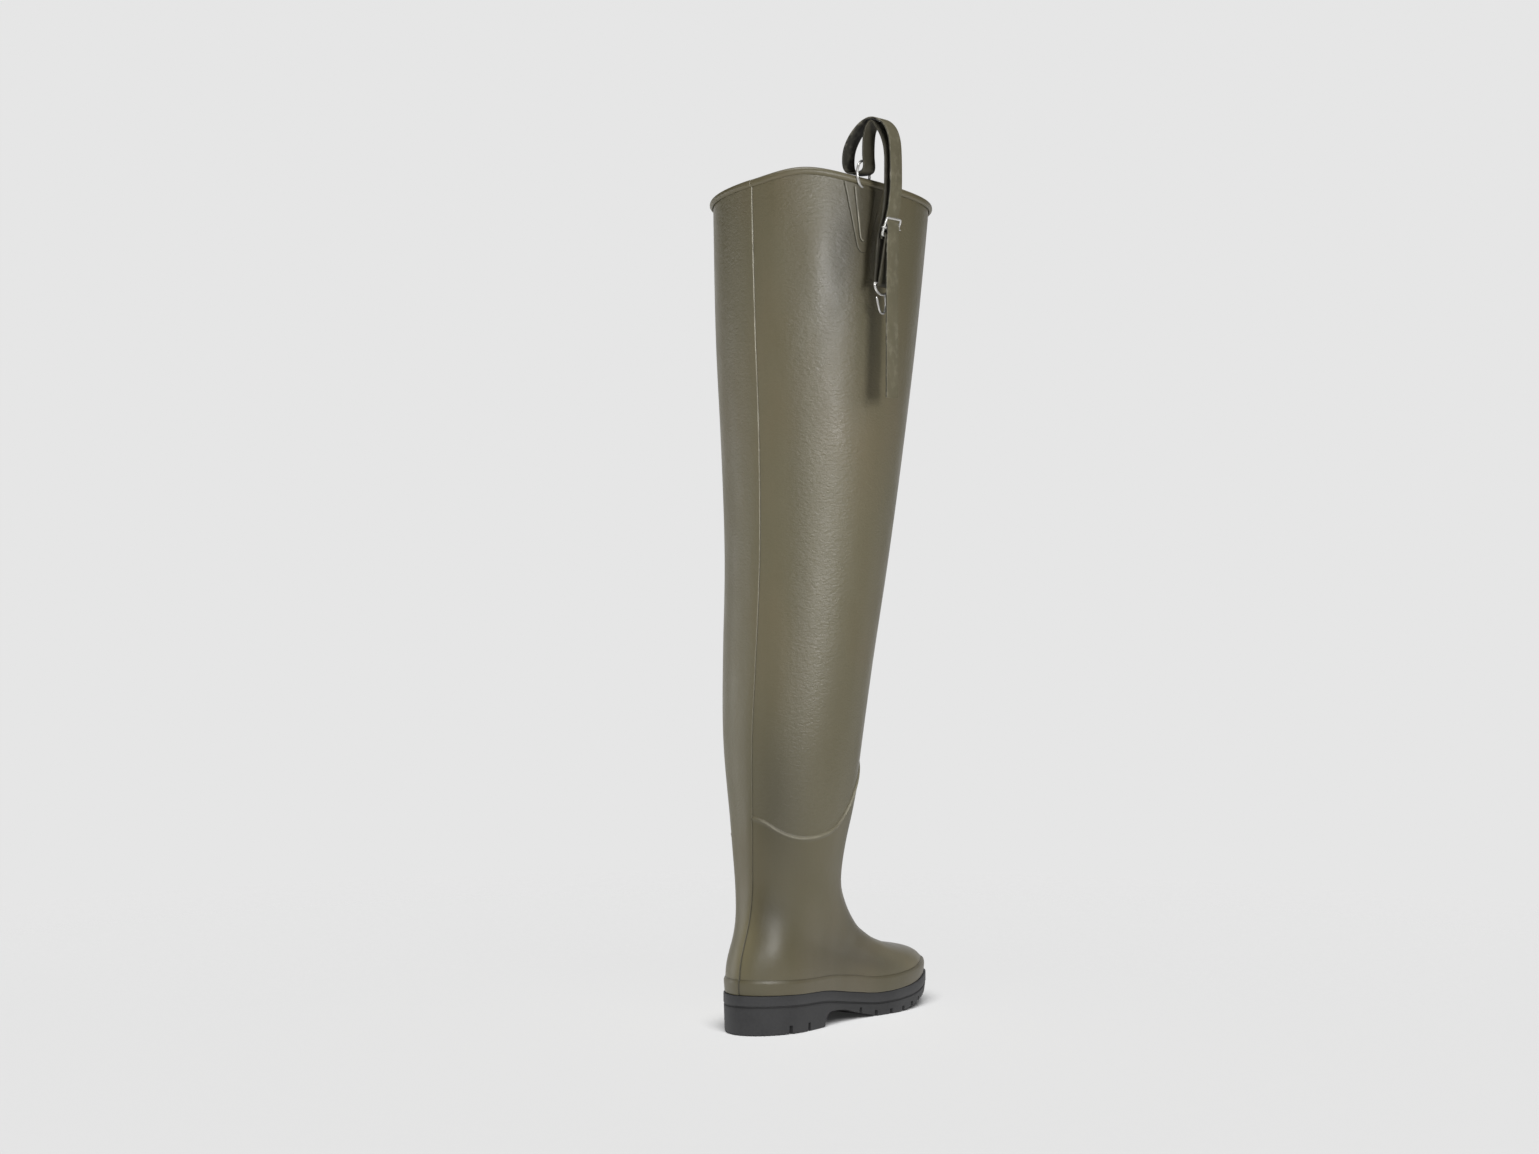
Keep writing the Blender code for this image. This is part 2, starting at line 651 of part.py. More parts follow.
def collar_tongue(top_width, foot_width, start, length, offset, thickness):
    """A tapering piece on the wall under the collar, about the ring, with a rounded foot."""
    shares = np.array([0.0, 0.25, 0.5, 0.75, 0.93, 1.0])
    narrowing = np.array([1.0, 1.0, 1.0, 1.0, 0.95, 0.45])
    across = np.linspace(-0.5, 0.5, 7)
    widths = (top_width + (foot_width - top_width) * shares) * narrowing
    turn_step = 0.001
    ends = boot_point(0.77, np.array([RING_TURN - turn_step, RING_TURN + turn_step]))
    turn_per_metre = 2 * turn_step / np.linalg.norm(ends[1] - ends[0])
    turns = RING_TURN + across[None, :] * widths[:, None] * turn_per_metre
    levels = collar_level(turns) - BINDING_DROP - 2 * GAP - start - length * shares[:, None]
    inner = boot_skin(levels, turns, np.full(turns.shape, offset))
    outer = boot_skin(levels, turns, np.full(turns.shape, offset + thickness))
    return slab(inner, outer)


def build_patch_and_ring(parts, cutters, upper, binding):
    """The V-shaped patch with its tab, and the wire ring that goes through wall and patch under the binding."""
    tab_offset = GAP + PATCH_THICKNESS + GAP
    patch_shape = collar_tongue(PATCH_TOP_WIDTH, PATCH_FOOT_WIDTH, 0.0, PATCH_LENGTH, GAP, PATCH_THICKNESS)
    tab_shape = collar_tongue(TAB_TOP_WIDTH, TAB_FOOT_WIDTH, TAB_START, TAB_LENGTH, tab_offset, TAB_THICKNESS)
    patch = add_object(parts, "strap_patch", patch_shape)
    add_object(parts, "ring_tab", tab_shape)
    centre, outward, forward, upward = ring_frame()
    middle = centre + upward * RING_ABOVE_EDGE
    swing = np.radians(RING_SWING)
    across = outward * cos(swing) - forward * sin(swing)
    steps = 28
    angles = [2 * pi * step / steps for step in range(steps)]
    circle = [middle + RING_RADIUS * (cos(a) * across + sin(a) * upward) for a in angles]
    add_object(parts, "collar_ring", tube(circle, RING_WIRE, closed=True))
    hole = add_object(cutters, "ring_hole_cutter", tube(circle, RING_WIRE + RING_CLEARANCE, closed=True))
    for piece in (upper, patch, binding):
        cut(piece, hole)


def strap_point(out, up):
    """Point in the strap's plane: out from the wall at the ring, and up from the strap's zero height."""
    centre = ring_frame()[0]
    return np.array([centre[0], centre[1] - out, STRAP_ZERO_HEIGHT + up])


def fold(bar, start, end, steps=6):
    """The strap folded round a bar: an arc from one angle to the other, 0 pointing outwards and 90 up."""
    out, up = bar
    angles = np.radians(np.linspace(start, end, steps + 1))
    return [strap_point(out + FOLD_RADIUS * cos(a), up + FOLD_RADIUS * sin(a)) for a in angles]


def smooth_line(points, step):
    """Smooth line through points, with new points about a step apart."""
    points = np.asarray(points)
    lengths = np.linalg.norm(np.diff(points, axis=0), axis=1)
    reached = np.concatenate([[0], np.cumsum(lengths)])
    finer = np.linspace(0, reached[-1], int(reached[-1] / step) + 1)
    return np.stack([curve_through(reached, points[:, axis], finer) for axis in range(3)], axis=-1)


def strap_path():
    """Middle line of the whole strap, from the end sewn at the buckle to the tip of the tail."""
    foot_out, foot_up = BUCKLE_FOOT
    top_out, top_up = BUCKLE_TOP
    middle_out = top_out + BUCKLE_BAR_SHARE * (foot_out - top_out)
    middle_up = top_up + BUCKLE_BAR_SHARE * (foot_up - top_up)
    over_bar = BUCKLE_BAR_WIRE + STRAP_THICKNESS / 2 + 2 * GAP
    under_bar = BUCKLE_WIRE + STRAP_THICKNESS / 2 + 2 * GAP
    sewn_end = [strap_point(foot_out - FOLD_RADIUS, foot_up - 0.0035)]
    sewn_end += fold(BUCKLE_FOOT, 180, -10)
    hook_fold = fold(HOOK_BAR, 10, -192)
    loop = smooth_line([strap_point(station.out, station.up) for station in STRAP_LOOP], STRAP_STEP)
    tail = [
        strap_point(top_out - under_bar, top_up + 0.0015),
        strap_point(top_out - under_bar + 0.0002, top_up - 0.0020),
        strap_point(middle_out + over_bar, middle_up + 0.0010),
        strap_point(middle_out + over_bar, middle_up - 0.0020),
        strap_point(TAIL_OUT + 0.0008, foot_up - 0.0040),
        strap_point(TAIL_OUT + 0.0003, foot_up - 0.0300),
        strap_point(TAIL_OUT, foot_up - 0.0700),
        strap_point(TAIL_OUT, TAIL_END_UP),
    ]
    return np.concatenate([sewn_end, hook_fold, loop, smooth_line(tail, STRAP_STEP)])


def ribbon(points, width, thickness):
    """Solid of a flat strap along a line in a plane across the foot, its width along the foot."""
    across = np.array([1.0, 0.0, 0.0])
    tangents = np.gradient(points, axis=0)
    tangents /= np.linalg.norm(tangents, axis=1, keepdims=True)
    faces_out = np.cross(tangents, across)
    corners = ((-1, -1), (1, -1), (1, 1), (-1, 1))
    rows = [points + across * side * width / 2 + faces_out * face * thickness / 2 for side, face in corners]
    count = len(points)
    numbers = np.arange(count * 4).reshape(count, 4).tolist()
    faces = [tuple(numbers[0]), tuple(numbers[-1])]
    for first, second in zip(numbers, numbers[1:]):
        faces += ring_faces(first, second)
    return np.stack(rows, axis=1).reshape(-1, 3), faces


def build_strap(parts):
    add_object(parts, "strap", ribbon(strap_path(), STRAP_WIDTH, STRAP_THICKNESS))


def build_buckle(parts, cutters):
    """Wire frame with rounded corners, and the middle bar that the strap runs over."""
    toe_ward = np.array([1.0, 0.0, 0.0])
    top = strap_point(*BUCKLE_TOP)
    foot = strap_point(*BUCKLE_FOOT)
    centre = (top + foot) / 2
    half_height = (top - foot) / 2
    up = half_height / np.linalg.norm(half_height)
    half_width = BUCKLE_WIDTH / 2 - BUCKLE_WIRE
    corner = 0.0022
    frame = []
    for quarter, (side, rise) in enumerate(((1, 1), (-1, 1), (-1, -1), (1, -1))):
        middle = centre + toe_ward * side * (half_width - corner) + half_height * rise - up * rise * corner
        for a in np.radians(np.linspace(90 * quarter, 90 * quarter + 90, 4)):
            frame.append(middle + corner * (toe_ward * cos(a) + up * sin(a)))
    buckle = add_object(parts, "buckle", tube(frame, BUCKLE_WIRE, closed=True))
    bar = top + BUCKLE_BAR_SHARE * (foot - top)
    bar_ends = [bar - toe_ward * half_width, bar + toe_ward * half_width]
    cut(buckle, add_object(cutters, "buckle_bar", tube(bar_ends, BUCKLE_BAR_WIRE)), "UNION")


def build_snap_hook(parts, cutters):
    """Wire eye with a straight bar for the strap, and the bent hook below it."""
    bar = strap_point(*HOOK_BAR)
    half_width = HOOK_EYE_WIDTH / 2 - HOOK_WIRE
    eye = [bar + np.array([x, 0, 0]) for x in np.linspace(-half_width, half_width, 4)]
    for a in np.radians(np.linspace(0, 180, 13)[1:-1]):
        eye.append(bar + np.array([half_width * cos(a), 0, -HOOK_EYE_DROP * sin(a)]))
    hook = add_object(parts, "snap_hook", tube(eye, HOOK_WIRE, closed=True))
    wire = smooth_line([bar + np.array([station.along, 0, -station.drop]) for station in HOOK_BEND], 0.0022)
    cut(hook, add_object(cutters, "hook_bend", tube(wire, HOOK_WIRE * 0.95)), "UNION")


def build_all():
    parts, cutters = start_scene()
    build_outsole(parts, cutters)
    build_insole(parts)
    upper = build_upper(parts)
    build_foxing_band(parts)
    binding = build_collar_binding(parts)
    build_patch_and_ring(parts, cutters, upper, binding)
    build_strap(parts)
    build_buckle(parts, cutters)
    build_snap_hook(parts, cutters)


build_all()
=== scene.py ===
"""Looks of the right thigh wader: satin olive rubber on a dark lugged sole, with its strap and nickel wire.

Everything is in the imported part's frame, in metres: toe +X, outer side -Y, up +Z, floor at height 0.
The rubber follows one surface, boot_point(level, turn): level is a section's height at the back of the leg,
and turn runs once round it from the back (0) over the outer side (0.25) to the front (0.5).
"""

from collections import namedtuple
from math import cos, pi, radians, sin, tan

import bmesh
import bpy
import numpy as np
from mathutils import Matrix, Vector


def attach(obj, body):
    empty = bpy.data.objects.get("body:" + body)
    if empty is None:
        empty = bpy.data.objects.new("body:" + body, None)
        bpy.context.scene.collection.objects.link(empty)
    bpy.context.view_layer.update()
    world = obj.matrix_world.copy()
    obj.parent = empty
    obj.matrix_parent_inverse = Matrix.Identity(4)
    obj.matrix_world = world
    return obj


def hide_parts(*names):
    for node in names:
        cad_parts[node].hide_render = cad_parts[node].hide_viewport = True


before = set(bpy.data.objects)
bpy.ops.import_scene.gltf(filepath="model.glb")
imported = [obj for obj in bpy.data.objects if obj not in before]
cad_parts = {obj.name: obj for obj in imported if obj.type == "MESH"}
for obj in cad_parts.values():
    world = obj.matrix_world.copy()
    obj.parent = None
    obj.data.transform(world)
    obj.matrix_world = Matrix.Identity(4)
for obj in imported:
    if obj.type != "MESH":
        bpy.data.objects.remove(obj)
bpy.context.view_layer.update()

# Camera of the photograph: degrees off the foot's axis, level, with the lens from the boot's two ends
CAMERA_TURN = 55.5
CAMERA_DISTANCE = 2.62
CAMERA_HEIGHT = 0.4302
CAMERA_SIDE = 0.0052
CAMERA_LENS = 64.51
CAMERA_SENSOR = 36.0

# Light panels: name, degrees right of the camera, distance, height, size, power, and whether gloss shows it
LIGHTS = (
    ("key", 28, 1.05, 0.64, (0.18, 0.30), 5.2, True),
    ("soft", 42, 1.25, 0.95, (1.00, 0.90), 5.4, True),
    ("front", 0, 1.30, 0.62, (0.34, 0.60), 2.6, True),
    ("toe", 118, 0.95, 0.30, (0.60, 0.60), 0.6, True),
    ("top", 0, 0.05, 1.90, (0.50, 0.50), 8.0, True),
    ("left", -74, 1.60, 0.55, (1.20, 1.40), 13.4, False),
    ("behind", -112, 1.60, 0.30, (0.90, 0.80), 4.0, True),
    ("backdrop_light", 180, 1.60, 0.55, (2.40, 1.20), 8.0, True),
)
LIT_MIDDLE = (0.05, 0.0, 0.42)
BACKDROP = 0.791
FLOOR_LIGHT = 4.20
FLOOR_GLOW = 0.02
FLOOR_LIGHT_ANGLE = 50
FLOOR_LIGHT_TILT = 45
FLOOR_RADIUS = 1.5
FLOOR_SIDES = 64

# Sizes of the sole
SOLE_LENGTH = 0.3035
HEEL_BACK = -0.0439
HEEL_BLOCK_LENGTH = 0.0885
ARCH_HEIGHT = 0.0140
ARCH_END_HEIGHT = 0.0102
ARCH_END_ALONG = 0.445
TREAD_START_ALONG = 0.462
TREAD_START_RISE = 0.0084
TREAD_DOWN_ALONG = 0.583
SPRING_START_ALONG = 0.685
SPRING_POWER = 1.15
TOE_SPRING = 0.0180
TREAD_BEVEL = 0.0022
HEEL_NUBS = 108
HEEL_NUB_DEPTH = 0.0009
HEEL_NUBS_TURN = 0.14
SIDE_BAND = 0.0095
SIDE_GROOVE = 0.0018
SIDE_GROOVE_DEPTH = 0.0012
SIDE_TAPER = 0.0012
SOLE_TOP_ROUND = 0.0008
HEEL_GROOVE_WIDTH = 0.0050
HEEL_GROOVE_DEPTH = 0.0084
LUG_GROOVE_WIDTH = 0.0052
LUG_GROOVE_DEPTH = 0.0052
HEEL_GROOVES_X = (-0.0083, 0.0171)
FOREFOOT_GROOVES_X = (0.1060, 0.1290, 0.1500, 0.1690, 0.1850, 0.2000)
CUTTER_HALF_WIDTH = 0.08
CUTTER_FOOT = -0.01

# Sizes of the upper
GAP = 0.0003
LEG_WALL = 0.0022
BOOT_STEP = 0.0009
LIP_BULGE = 0.0009
LIP_SLOPE = 0.0012
LIP_FALL = 0.0034
LAP_HIDES_LIP_TURN = 0.13
LAP_EVENS_OUT = 0.03
SEAM_STEP = 0.0009
SEAM_LAP_TURN = 0.04
SEAM_EDGE_TURN = 0.0014
BINDING_DROP = 0.0054
BINDING_BULGE = 0.0033
BINDING_INNER_DROP = 0.0045
BINDING_THICKNESS = 0.0014
FOXING_HEEL_LEVEL = 0.0525
FOXING_FRONT_LEVEL = 0.0580
FOXING_THICKNESS = 0.0012
FOXING_ROUND = 0.0036
INSOLE_THICKNESS = 0.0040
INSOLE_SIDE_GAP = 0.0012
INSOLE_EDGE = 0.0012

# Sizes of the strap, its patch and its metal
RING_TURN = 0.169
RING_SWING = 60
RING_RADIUS = 0.0125
RING_WIRE = 0.0013
RING_ABOVE_EDGE = 0.0050
PATCH_TOP_WIDTH = 0.043
PATCH_FOOT_WIDTH = 0.010
PATCH_LENGTH = 0.062
PATCH_THICKNESS = 0.0011
TAB_TOP_WIDTH = 0.023
TAB_FOOT_WIDTH = 0.008
TAB_START = 0.003
TAB_LENGTH = 0.049
TAB_THICKNESS = 0.0011
TONGUE_ROUND = 0.0011
TONGUE_LEVEL = 0.77
TONGUE_TURN_STEP = 0.001
EDGE_SHADE_WIDTH = 0.0005
STRAP_ZERO_HEIGHT = 0.8007
STRAP_WIDTH = 0.020
STRAP_THICKNESS = 0.0018
STRAP_ROUND = 0.0007
STRAP_STEP = 0.0012
STRAP_EASE = 0.0011
TAIL_OUT = 0.0315
TAIL_END_UP = -0.2045
BUCKLE_WIDTH = 0.0265
BUCKLE_WIRE = 0.0011
BUCKLE_BAR_WIRE = 0.0009
BUCKLE_CORNER = 0.0022
BUCKLE_TOP = (0.0337, -0.0378)
BUCKLE_FOOT = (0.0280, -0.0535)
BUCKLE_BAR_SHARE = 0.60
CURL_WIRE_SHARE = 0.8
CURL_TURNS = 1.15
CURL_RISE = 0.0014
FOLD_RADIUS = 0.0024
HOOK_WIRE = 0.0011
HOOK_EYE_WIDTH = 0.0272
HOOK_EYE_DROP = 0.0100
HOOK_BAR = (0.0203, -0.0975)


def table(columns, *rows):
    """Rows of numbers with named columns."""
    row_type = namedtuple("Row", columns)
    return [row_type(*row) for row in rows]


# Outline of the sole from above: share of the length from the heel, middle line and half width there
SOLE_PLAN = table(
    "along centre half_width",
    (0.05, 0.0000, 0.0269),
    (0.13, 0.0000, 0.0392),
    (0.22, -0.0008, 0.0408),
    (0.34, -0.0025, 0.0385),
    (0.46, -0.0043, 0.0372),
    (0.56, -0.0040, 0.0410),
    (0.66, -0.0022, 0.0487),
    (0.74, 0.0000, 0.0523),
    (0.82, 0.0016, 0.0510),
    (0.90, 0.0030, 0.0427),
    (0.96, 0.0038, 0.0302),
)

# Top edge of the sole, seen from the side
SOLE_TOP = table(
    "along height",
    (0.00, 0.0377),
    (0.15, 0.0366),
    (0.30, 0.0345),
    (0.45, 0.0280),
    (0.60, 0.0230),
    (0.75, 0.0252),
    (0.90, 0.0315),
    (1.00, 0.0330),
)

# Sections of the upper, from the feather line to the collar: height at the back, where back and front stand,
# height at the front, half width, how far the middle leans outwards, and how much the outline is the foot's
SECTIONS = table(
    "level back front front_height half_width lean foot",
    (0.0380, -0.0392, 0.2530, 0.0333, 0.0497, 0.0000, 1.00),
    (0.0500, -0.0402, 0.2540, 0.0415, 0.0505, 0.0000, 1.00),
    (0.0620, -0.0390, 0.2480, 0.0485, 0.0500, 0.0000, 1.00),
    (0.0720, -0.0365, 0.2370, 0.0545, 0.0485, 0.0000, 0.95),
    (0.0800, -0.0335, 0.2210, 0.0588, 0.0468, 0.0000, 0.86),
    (0.0880, -0.0300, 0.1970, 0.0626, 0.0452, 0.0000, 0.72),
    (0.0980, -0.0260, 0.1660, 0.0695, 0.0442, 0.0000, 0.52),
    (0.1120, -0.0218, 0.1330, 0.0865, 0.0440, 0.0000, 0.27),
    (0.1250, -0.0196, 0.1120, 0.1090, 0.0444, 0.0000, 0.09),
    (0.1400, -0.0184, 0.1000, 0.1360, 0.0452, 0.0000, 0.00),
    (0.1770, -0.0198, 0.1022, 0.1770, 0.0508, 0.0008, 0.00),
    (0.2150, -0.0219, 0.1100, 0.2150, 0.0579, 0.0016, 0.00),
    (0.2730, -0.0245, 0.1136, 0.2730, 0.0659, 0.0028, 0.00),
    (0.3500, -0.0208, 0.1230, 0.3500, 0.0727, 0.0044, 0.00),
    (0.4460, -0.0170, 0.1425, 0.4460, 0.0788, 0.0065, 0.00),
    (0.5630, -0.0218, 0.1622, 0.5630, 0.0872, 0.0090, 0.00),
    (0.6610, -0.0308, 0.1780, 0.6610, 0.0935, 0.0110, 0.00),
    (0.7730, -0.0392, 0.1953, 0.7730, 0.0972, 0.0134, 0.00),
    (0.8300, -0.0425, 0.2030, 0.8300, 0.0985, 0.0145, 0.00),
)
PLAN_EASE = 0.018
FOOT_EASE = 0.003
LEG_EASE = 0.014
EASE_FROM, EASE_TO = 0.13, 0.22

# Top edge of the thicker lower boot: height over the turn from the back to the front, the same on both sides
BOOT_EDGE = table(
    "turn height",
    (0.00, 0.2050),
    (0.04, 0.2000),
    (0.07, 0.1930),
    (0.11, 0.1868),
    (0.15, 0.1845),
    (0.20, 0.1868),
    (0.25, 0.1950),
    (0.29, 0.2110),
    (0.34, 0.2375),
    (0.42, 0.2640),
    (0.50, 0.2720),
)

# Top edge of the upper: height over the turn, highest behind the outer side, lowest at the inner side
COLLAR_EDGE = table(
    "turn height",
    (-0.380, 0.7840),
    (-0.250, 0.7860),
    (-0.110, 0.7910),
    (0.000, 0.8000),
    (0.085, 0.8102),
    (0.170, 0.8018),
    (0.250, 0.7953),
    (0.350, 0.7912),
    (0.480, 0.7860),
    (0.620, 0.7840),
)
TURN_EASE = 0.010

# Rows and columns of the fine meshes, and the degrees from which an edge is sharp. The upper's rows are in
# the foot, up to the lip, across it and on to the collar; its seam columns are shares of the seam's edge
FOOT_LEVELS = (0.0380, 0.1370)
FOOT_ROWS = 96
SHAFT_ROWS = 26
LIP_BELOW = 0.0050
LIP_ABOVE = 0.0036
LIP_ROWS = 26
LEG_ROWS = 138
EVEN_COLUMNS = 198
INNER_ROW_STEP = 5
FOXING_ROWS = 26
SOLE_COLUMNS = 720
INSOLE_COLUMNS = 160
TONGUE_ROWS = 44
TONGUE_COLUMNS = 41
EDGE_SHARP_FROM = 50
TREAD_SHARP_FROM = 38
SEAM_COLUMNS = (-1.6, -1.0, -0.6, -0.3, -0.1, 0.1, 0.25, 0.4, 0.55, 0.7, 0.85, 1.0, 1.25, 1.7)
NORMAL_STEP = 0.0008

# Soft folds of the rubber: where the middle is, reach along and across the fold, tilt from upright, and how
# far its middle stands out (or, below zero, sinks in). The depth keeps a patch off the far side of the leg
PATCH_COLUMNS = "level turn reach_along reach_across tilt amount"
PATCH_DEPTH = 0.04
FOLDS = table(
    PATCH_COLUMNS,
    (0.1060, 0.330, 0.030, 0.010, 62, -0.0007),
    (0.0930, 0.365, 0.026, 0.009, 70, 0.0005),
    (0.0800, 0.385, 0.024, 0.010, 60, -0.0007),
    (0.1180, -0.330, 0.030, 0.011, -60, -0.0006),
    (0.0850, -0.380, 0.026, 0.010, -62, -0.0006),
    (0.1500, 0.120, 0.060, 0.018, 8, -0.0004),
    (0.3200, 0.130, 0.110, 0.022, 4, -0.0005),
    (0.4300, 0.060, 0.120, 0.020, -3, -0.0004),
    (0.5200, 0.190, 0.130, 0.026, 3, 0.0004),
    (0.6400, 0.090, 0.120, 0.022, -2, -0.0005),
    (0.4000, -0.220, 0.120, 0.030, 3, -0.0005),
    (0.6000, -0.150, 0.130, 0.028, -4, 0.0005),
    (0.5000, 0.420, 0.120, 0.026, 3, -0.0005),
    (0.3000, 0.480, 0.090, 0.024, -5, -0.0005),
    (0.0980, 0.362, 0.045, 0.013, -56, 0.0014),
    (0.0830, 0.085, 0.018, 0.020, 0, 0.0022),
    (0.7350, 0.100, 0.040, 0.016, 0, 0.0016),
)

# Soft lighter and darker places in the rubber's colour, given like the folds: mostly painted light and shade,
# among them a painted bloom beside the leg's highlight, painted shadow beside the ring tab, and painted sheen
# and crease shade on the forefoot
PAINTED_LIGHT_AND_TONE = table(
    PATCH_COLUMNS,
    (0.5000, 0.175, 0.150, 0.036, 0, 0.10),
    (0.5200, 0.076, 0.280, 0.010, 0, -0.10),
    (0.4800, 0.000, 0.280, 0.040, 0, 0.10),
    (0.2200, 0.055, 0.095, 0.028, 0, -0.30),
    (0.0900, 0.245, 0.060, 0.034, 80, -0.28),
    (0.7450, 0.145, 0.070, 0.024, 8, -0.40),
    (0.7450, 0.190, 0.050, 0.007, 0, -0.40),
    (0.0620, 0.360, 0.032, 0.022, 80, 0.28),
    (0.0860, 0.000, 0.030, 0.012, 0, 0.40),
    (0.6900, 0.128, 0.130, 0.018, 2, -0.16),
    (0.2000, 0.080, 0.070, 0.020, 0, -0.10),
    (0.1000, 0.045, 0.045, 0.013, 0, -0.22),
    (0.1130, 0.080, 0.020, 0.014, 0, -0.20),
    (0.0770, 0.285, 0.042, 0.010, -74, -0.24),
    (0.0900, 0.350, 0.034, 0.010, -66, 0.34),
)

# Painted light along the sole, lighter at the heel and towards the toe, darker at the arch: share of the
# length from the heel, and how much lighter it is there
SOLE_PAINTED_LIGHT = ((0.00, 0.06), (0.30, 0.00), (0.45, -0.08), (0.60, 0.00), (0.72, 0.30), (1.00, 0.30))

# Middle line of the strap seen along the foot, out from the wall at the ring and up from its zero height:
# up the inner lane, down through the ring, up inside the boot, over and down the outer lane
STRAP_LOOP = table(
    "out up",
    (0.0216, -0.0560),
    (0.0256, -0.0400),
    (0.0294, -0.0120),
    (0.0298, 0.0160),
    (0.0270, 0.0350),
    (0.0205, 0.0475),
    (0.0138, 0.0547),
    (0.0080, 0.0480),
    (0.0058, 0.0360),
    (0.0055, 0.0240),
    (0.0064, 0.0140),
    (0.0052, 0.0092),
    (0.0000, 0.0072),
    (-0.0070, 0.0070),
    (-0.0125, 0.0083),
    (-0.0157, 0.0124),
    (-0.0168, 0.0190),
    (-0.0157, 0.0290),
    (-0.0115, 0.0385),
    (-0.0042, 0.0478),
    (0.0045, 0.0545),
    (0.0135, 0.0572),
    (0.0222, 0.0548),
    (0.0296, 0.0480),
    (0.0338, 0.0380),
    (0.0354, 0.0240),
    (0.0358, -0.0030),
    (0.0340, -0.0250),
)

# The bent wire of the hook below its eye: place along the bar and drop below it
HOOK_BEND = table(
    "along drop",
    (0.0052, 0.0090),
    (0.0062, 0.0130),
    (0.0067, 0.0190),
    (0.0054, 0.0243),
    (0.0022, 0.0273),
    (-0.0016, 0.0268),
    (-0.0042, 0.0238),
    (-0.0066, 0.0186),
    (-0.0090, 0.0126),
)

# Colours, as linear red, green and blue
LEG_LIGHT = (0.152, 0.137, 0.087)
LEG_DARK = (0.126, 0.112, 0.066)
FOOT_LIGHT = (0.130, 0.114, 0.064)
FOOT_DARK = (0.110, 0.095, 0.051)
# Colour of the painted shade in crevices and along edges
PAINTED_SHADE_DARK = (0.045, 0.041, 0.026)
# Pale colour of marks that are partly worn rubber and partly painted highlight
WORN_AND_HIGHLIGHT = (0.420, 0.395, 0.305)
BROWN = (0.158, 0.127, 0.075)
SOLE_LIGHT = (0.059, 0.059, 0.060)
SOLE_DARK = (0.019, 0.019, 0.020)
STRAP_OLIVE_LIGHT = (0.165, 0.150, 0.098)
STRAP_OLIVE_DARK = (0.110, 0.099, 0.062)
STRAP_BACK_LIGHT = (0.050, 0.048, 0.038)
STRAP_BACK_DARK = (0.030, 0.029, 0.023)
# Colour of the painted shade on the strap's inner lanes
STRAP_SHADE = (0.044, 0.040, 0.028)
LINING_LIGHT = (0.012, 0.060, 0.205)
LINING_DARK = (0.006, 0.032, 0.130)
NICKEL = (0.76, 0.75, 0.72)
FLOOR_COLOUR = (0.80, 0.80, 0.80)

# Directions
UP = np.array((0.0, 0.0, 1.0))
TOEWARD = np.array((1.0, 0.0, 0.0))




def curve_through(known_x, known_y, x):
    """Smooth curve through the known points that stays between its neighbours, flat beyond the ends."""
    known_x = np.asarray(known_x, float)
    known_y = np.asarray(known_y, float)
    x = np.clip(np.asarray(x, float), known_x[0], known_x[-1])
    step = np.diff(known_x)
    rise = np.diff(known_y) / step
    slope = np.concatenate([rise[:1], (rise[:-1] + rise[1:]) / 2, rise[-1:]])
    steepest = 3 * np.minimum(np.abs(np.append(rise, rise[-1])), np.abs(np.insert(rise, 0, rise[0])))
    slope = np.clip(slope, -steepest, steepest)
    slope[1:-1][rise[:-1] * rise[1:] <= 0] = 0
    i = np.clip(np.searchsorted(known_x, x, side="right") - 1, 0, len(step) - 1)
    t = (x - known_x[i]) / step[i]
    start = (1 + 2 * t) * (1 - t) ** 2 * known_y[i] + t * (1 - t) ** 2 * step[i] * slope[i]
    end = t**2 * (3 - 2 * t) * known_y[i + 1] - t**2 * (1 - t) * step[i] * slope[i + 1]
    return start + end


def smoothstep(low, high, x):
    """Smooth rise from 0 to 1 between two places."""
    t = np.clip((np.asarray(x, float) - low) / (high - low), 0, 1)
    return t * t * (3 - 2 * t)


def bell(distance, reach):
    """1 at no distance, falling off softly over a reach."""
    return np.exp(-((distance / reach) ** 2))


def unit(vectors):
    """Vectors brought to length 1."""
    return vectors / np.linalg.norm(vectors, axis=-1, keepdims=True)


def eased(x, y, reach):
    """Values at even places, each one spread over its neighbours within a reach."""
    reach = np.broadcast_to(reach, x.shape)
    spread = np.exp(-0.5 * ((x[:, None] - x[None, :]) / reach[:, None]) ** 2)
    return (spread @ y) / spread.sum(axis=1)


def eased_sections():
    """The sections at fine, even levels, carried straight on beyond both ends and eased between the rows."""
    known = np.array(SECTIONS)
    first, last = known[0, 0], known[-1, 0]
    levels = np.linspace(first - 0.05, last + 0.05, 1800)
    reach = FOOT_EASE + (LEG_EASE - FOOT_EASE) * smoothstep(EASE_FROM, EASE_TO, levels)
    slopes = np.diff(known, axis=0) / np.diff(known[:, :1], axis=0)
    columns = []
    for column in range(1, known.shape[1]):
        values = curve_through(known[:, 0], known[:, column], levels)
        values += slopes[0, column] * np.minimum(levels - first, 0)
        values += slopes[-1, column] * np.maximum(levels - last, 0)
        columns.append(eased(levels, values, reach))
    return levels, columns


def eased_plan():
    """Middle line and fullness of the sole's outline; fullness times the turn's sine is the half width."""
    known_along, centre, half_width = np.array(SOLE_PLAN).T
    fullness = half_width / (2 * np.sqrt(known_along * (1 - known_along)))
    along = np.linspace(-0.1, 1.1, 900)
    curves = [curve_through(known_along, values, along) for values in (centre, fullness)]
    return along, [eased(along, curve, PLAN_EASE) for curve in curves]


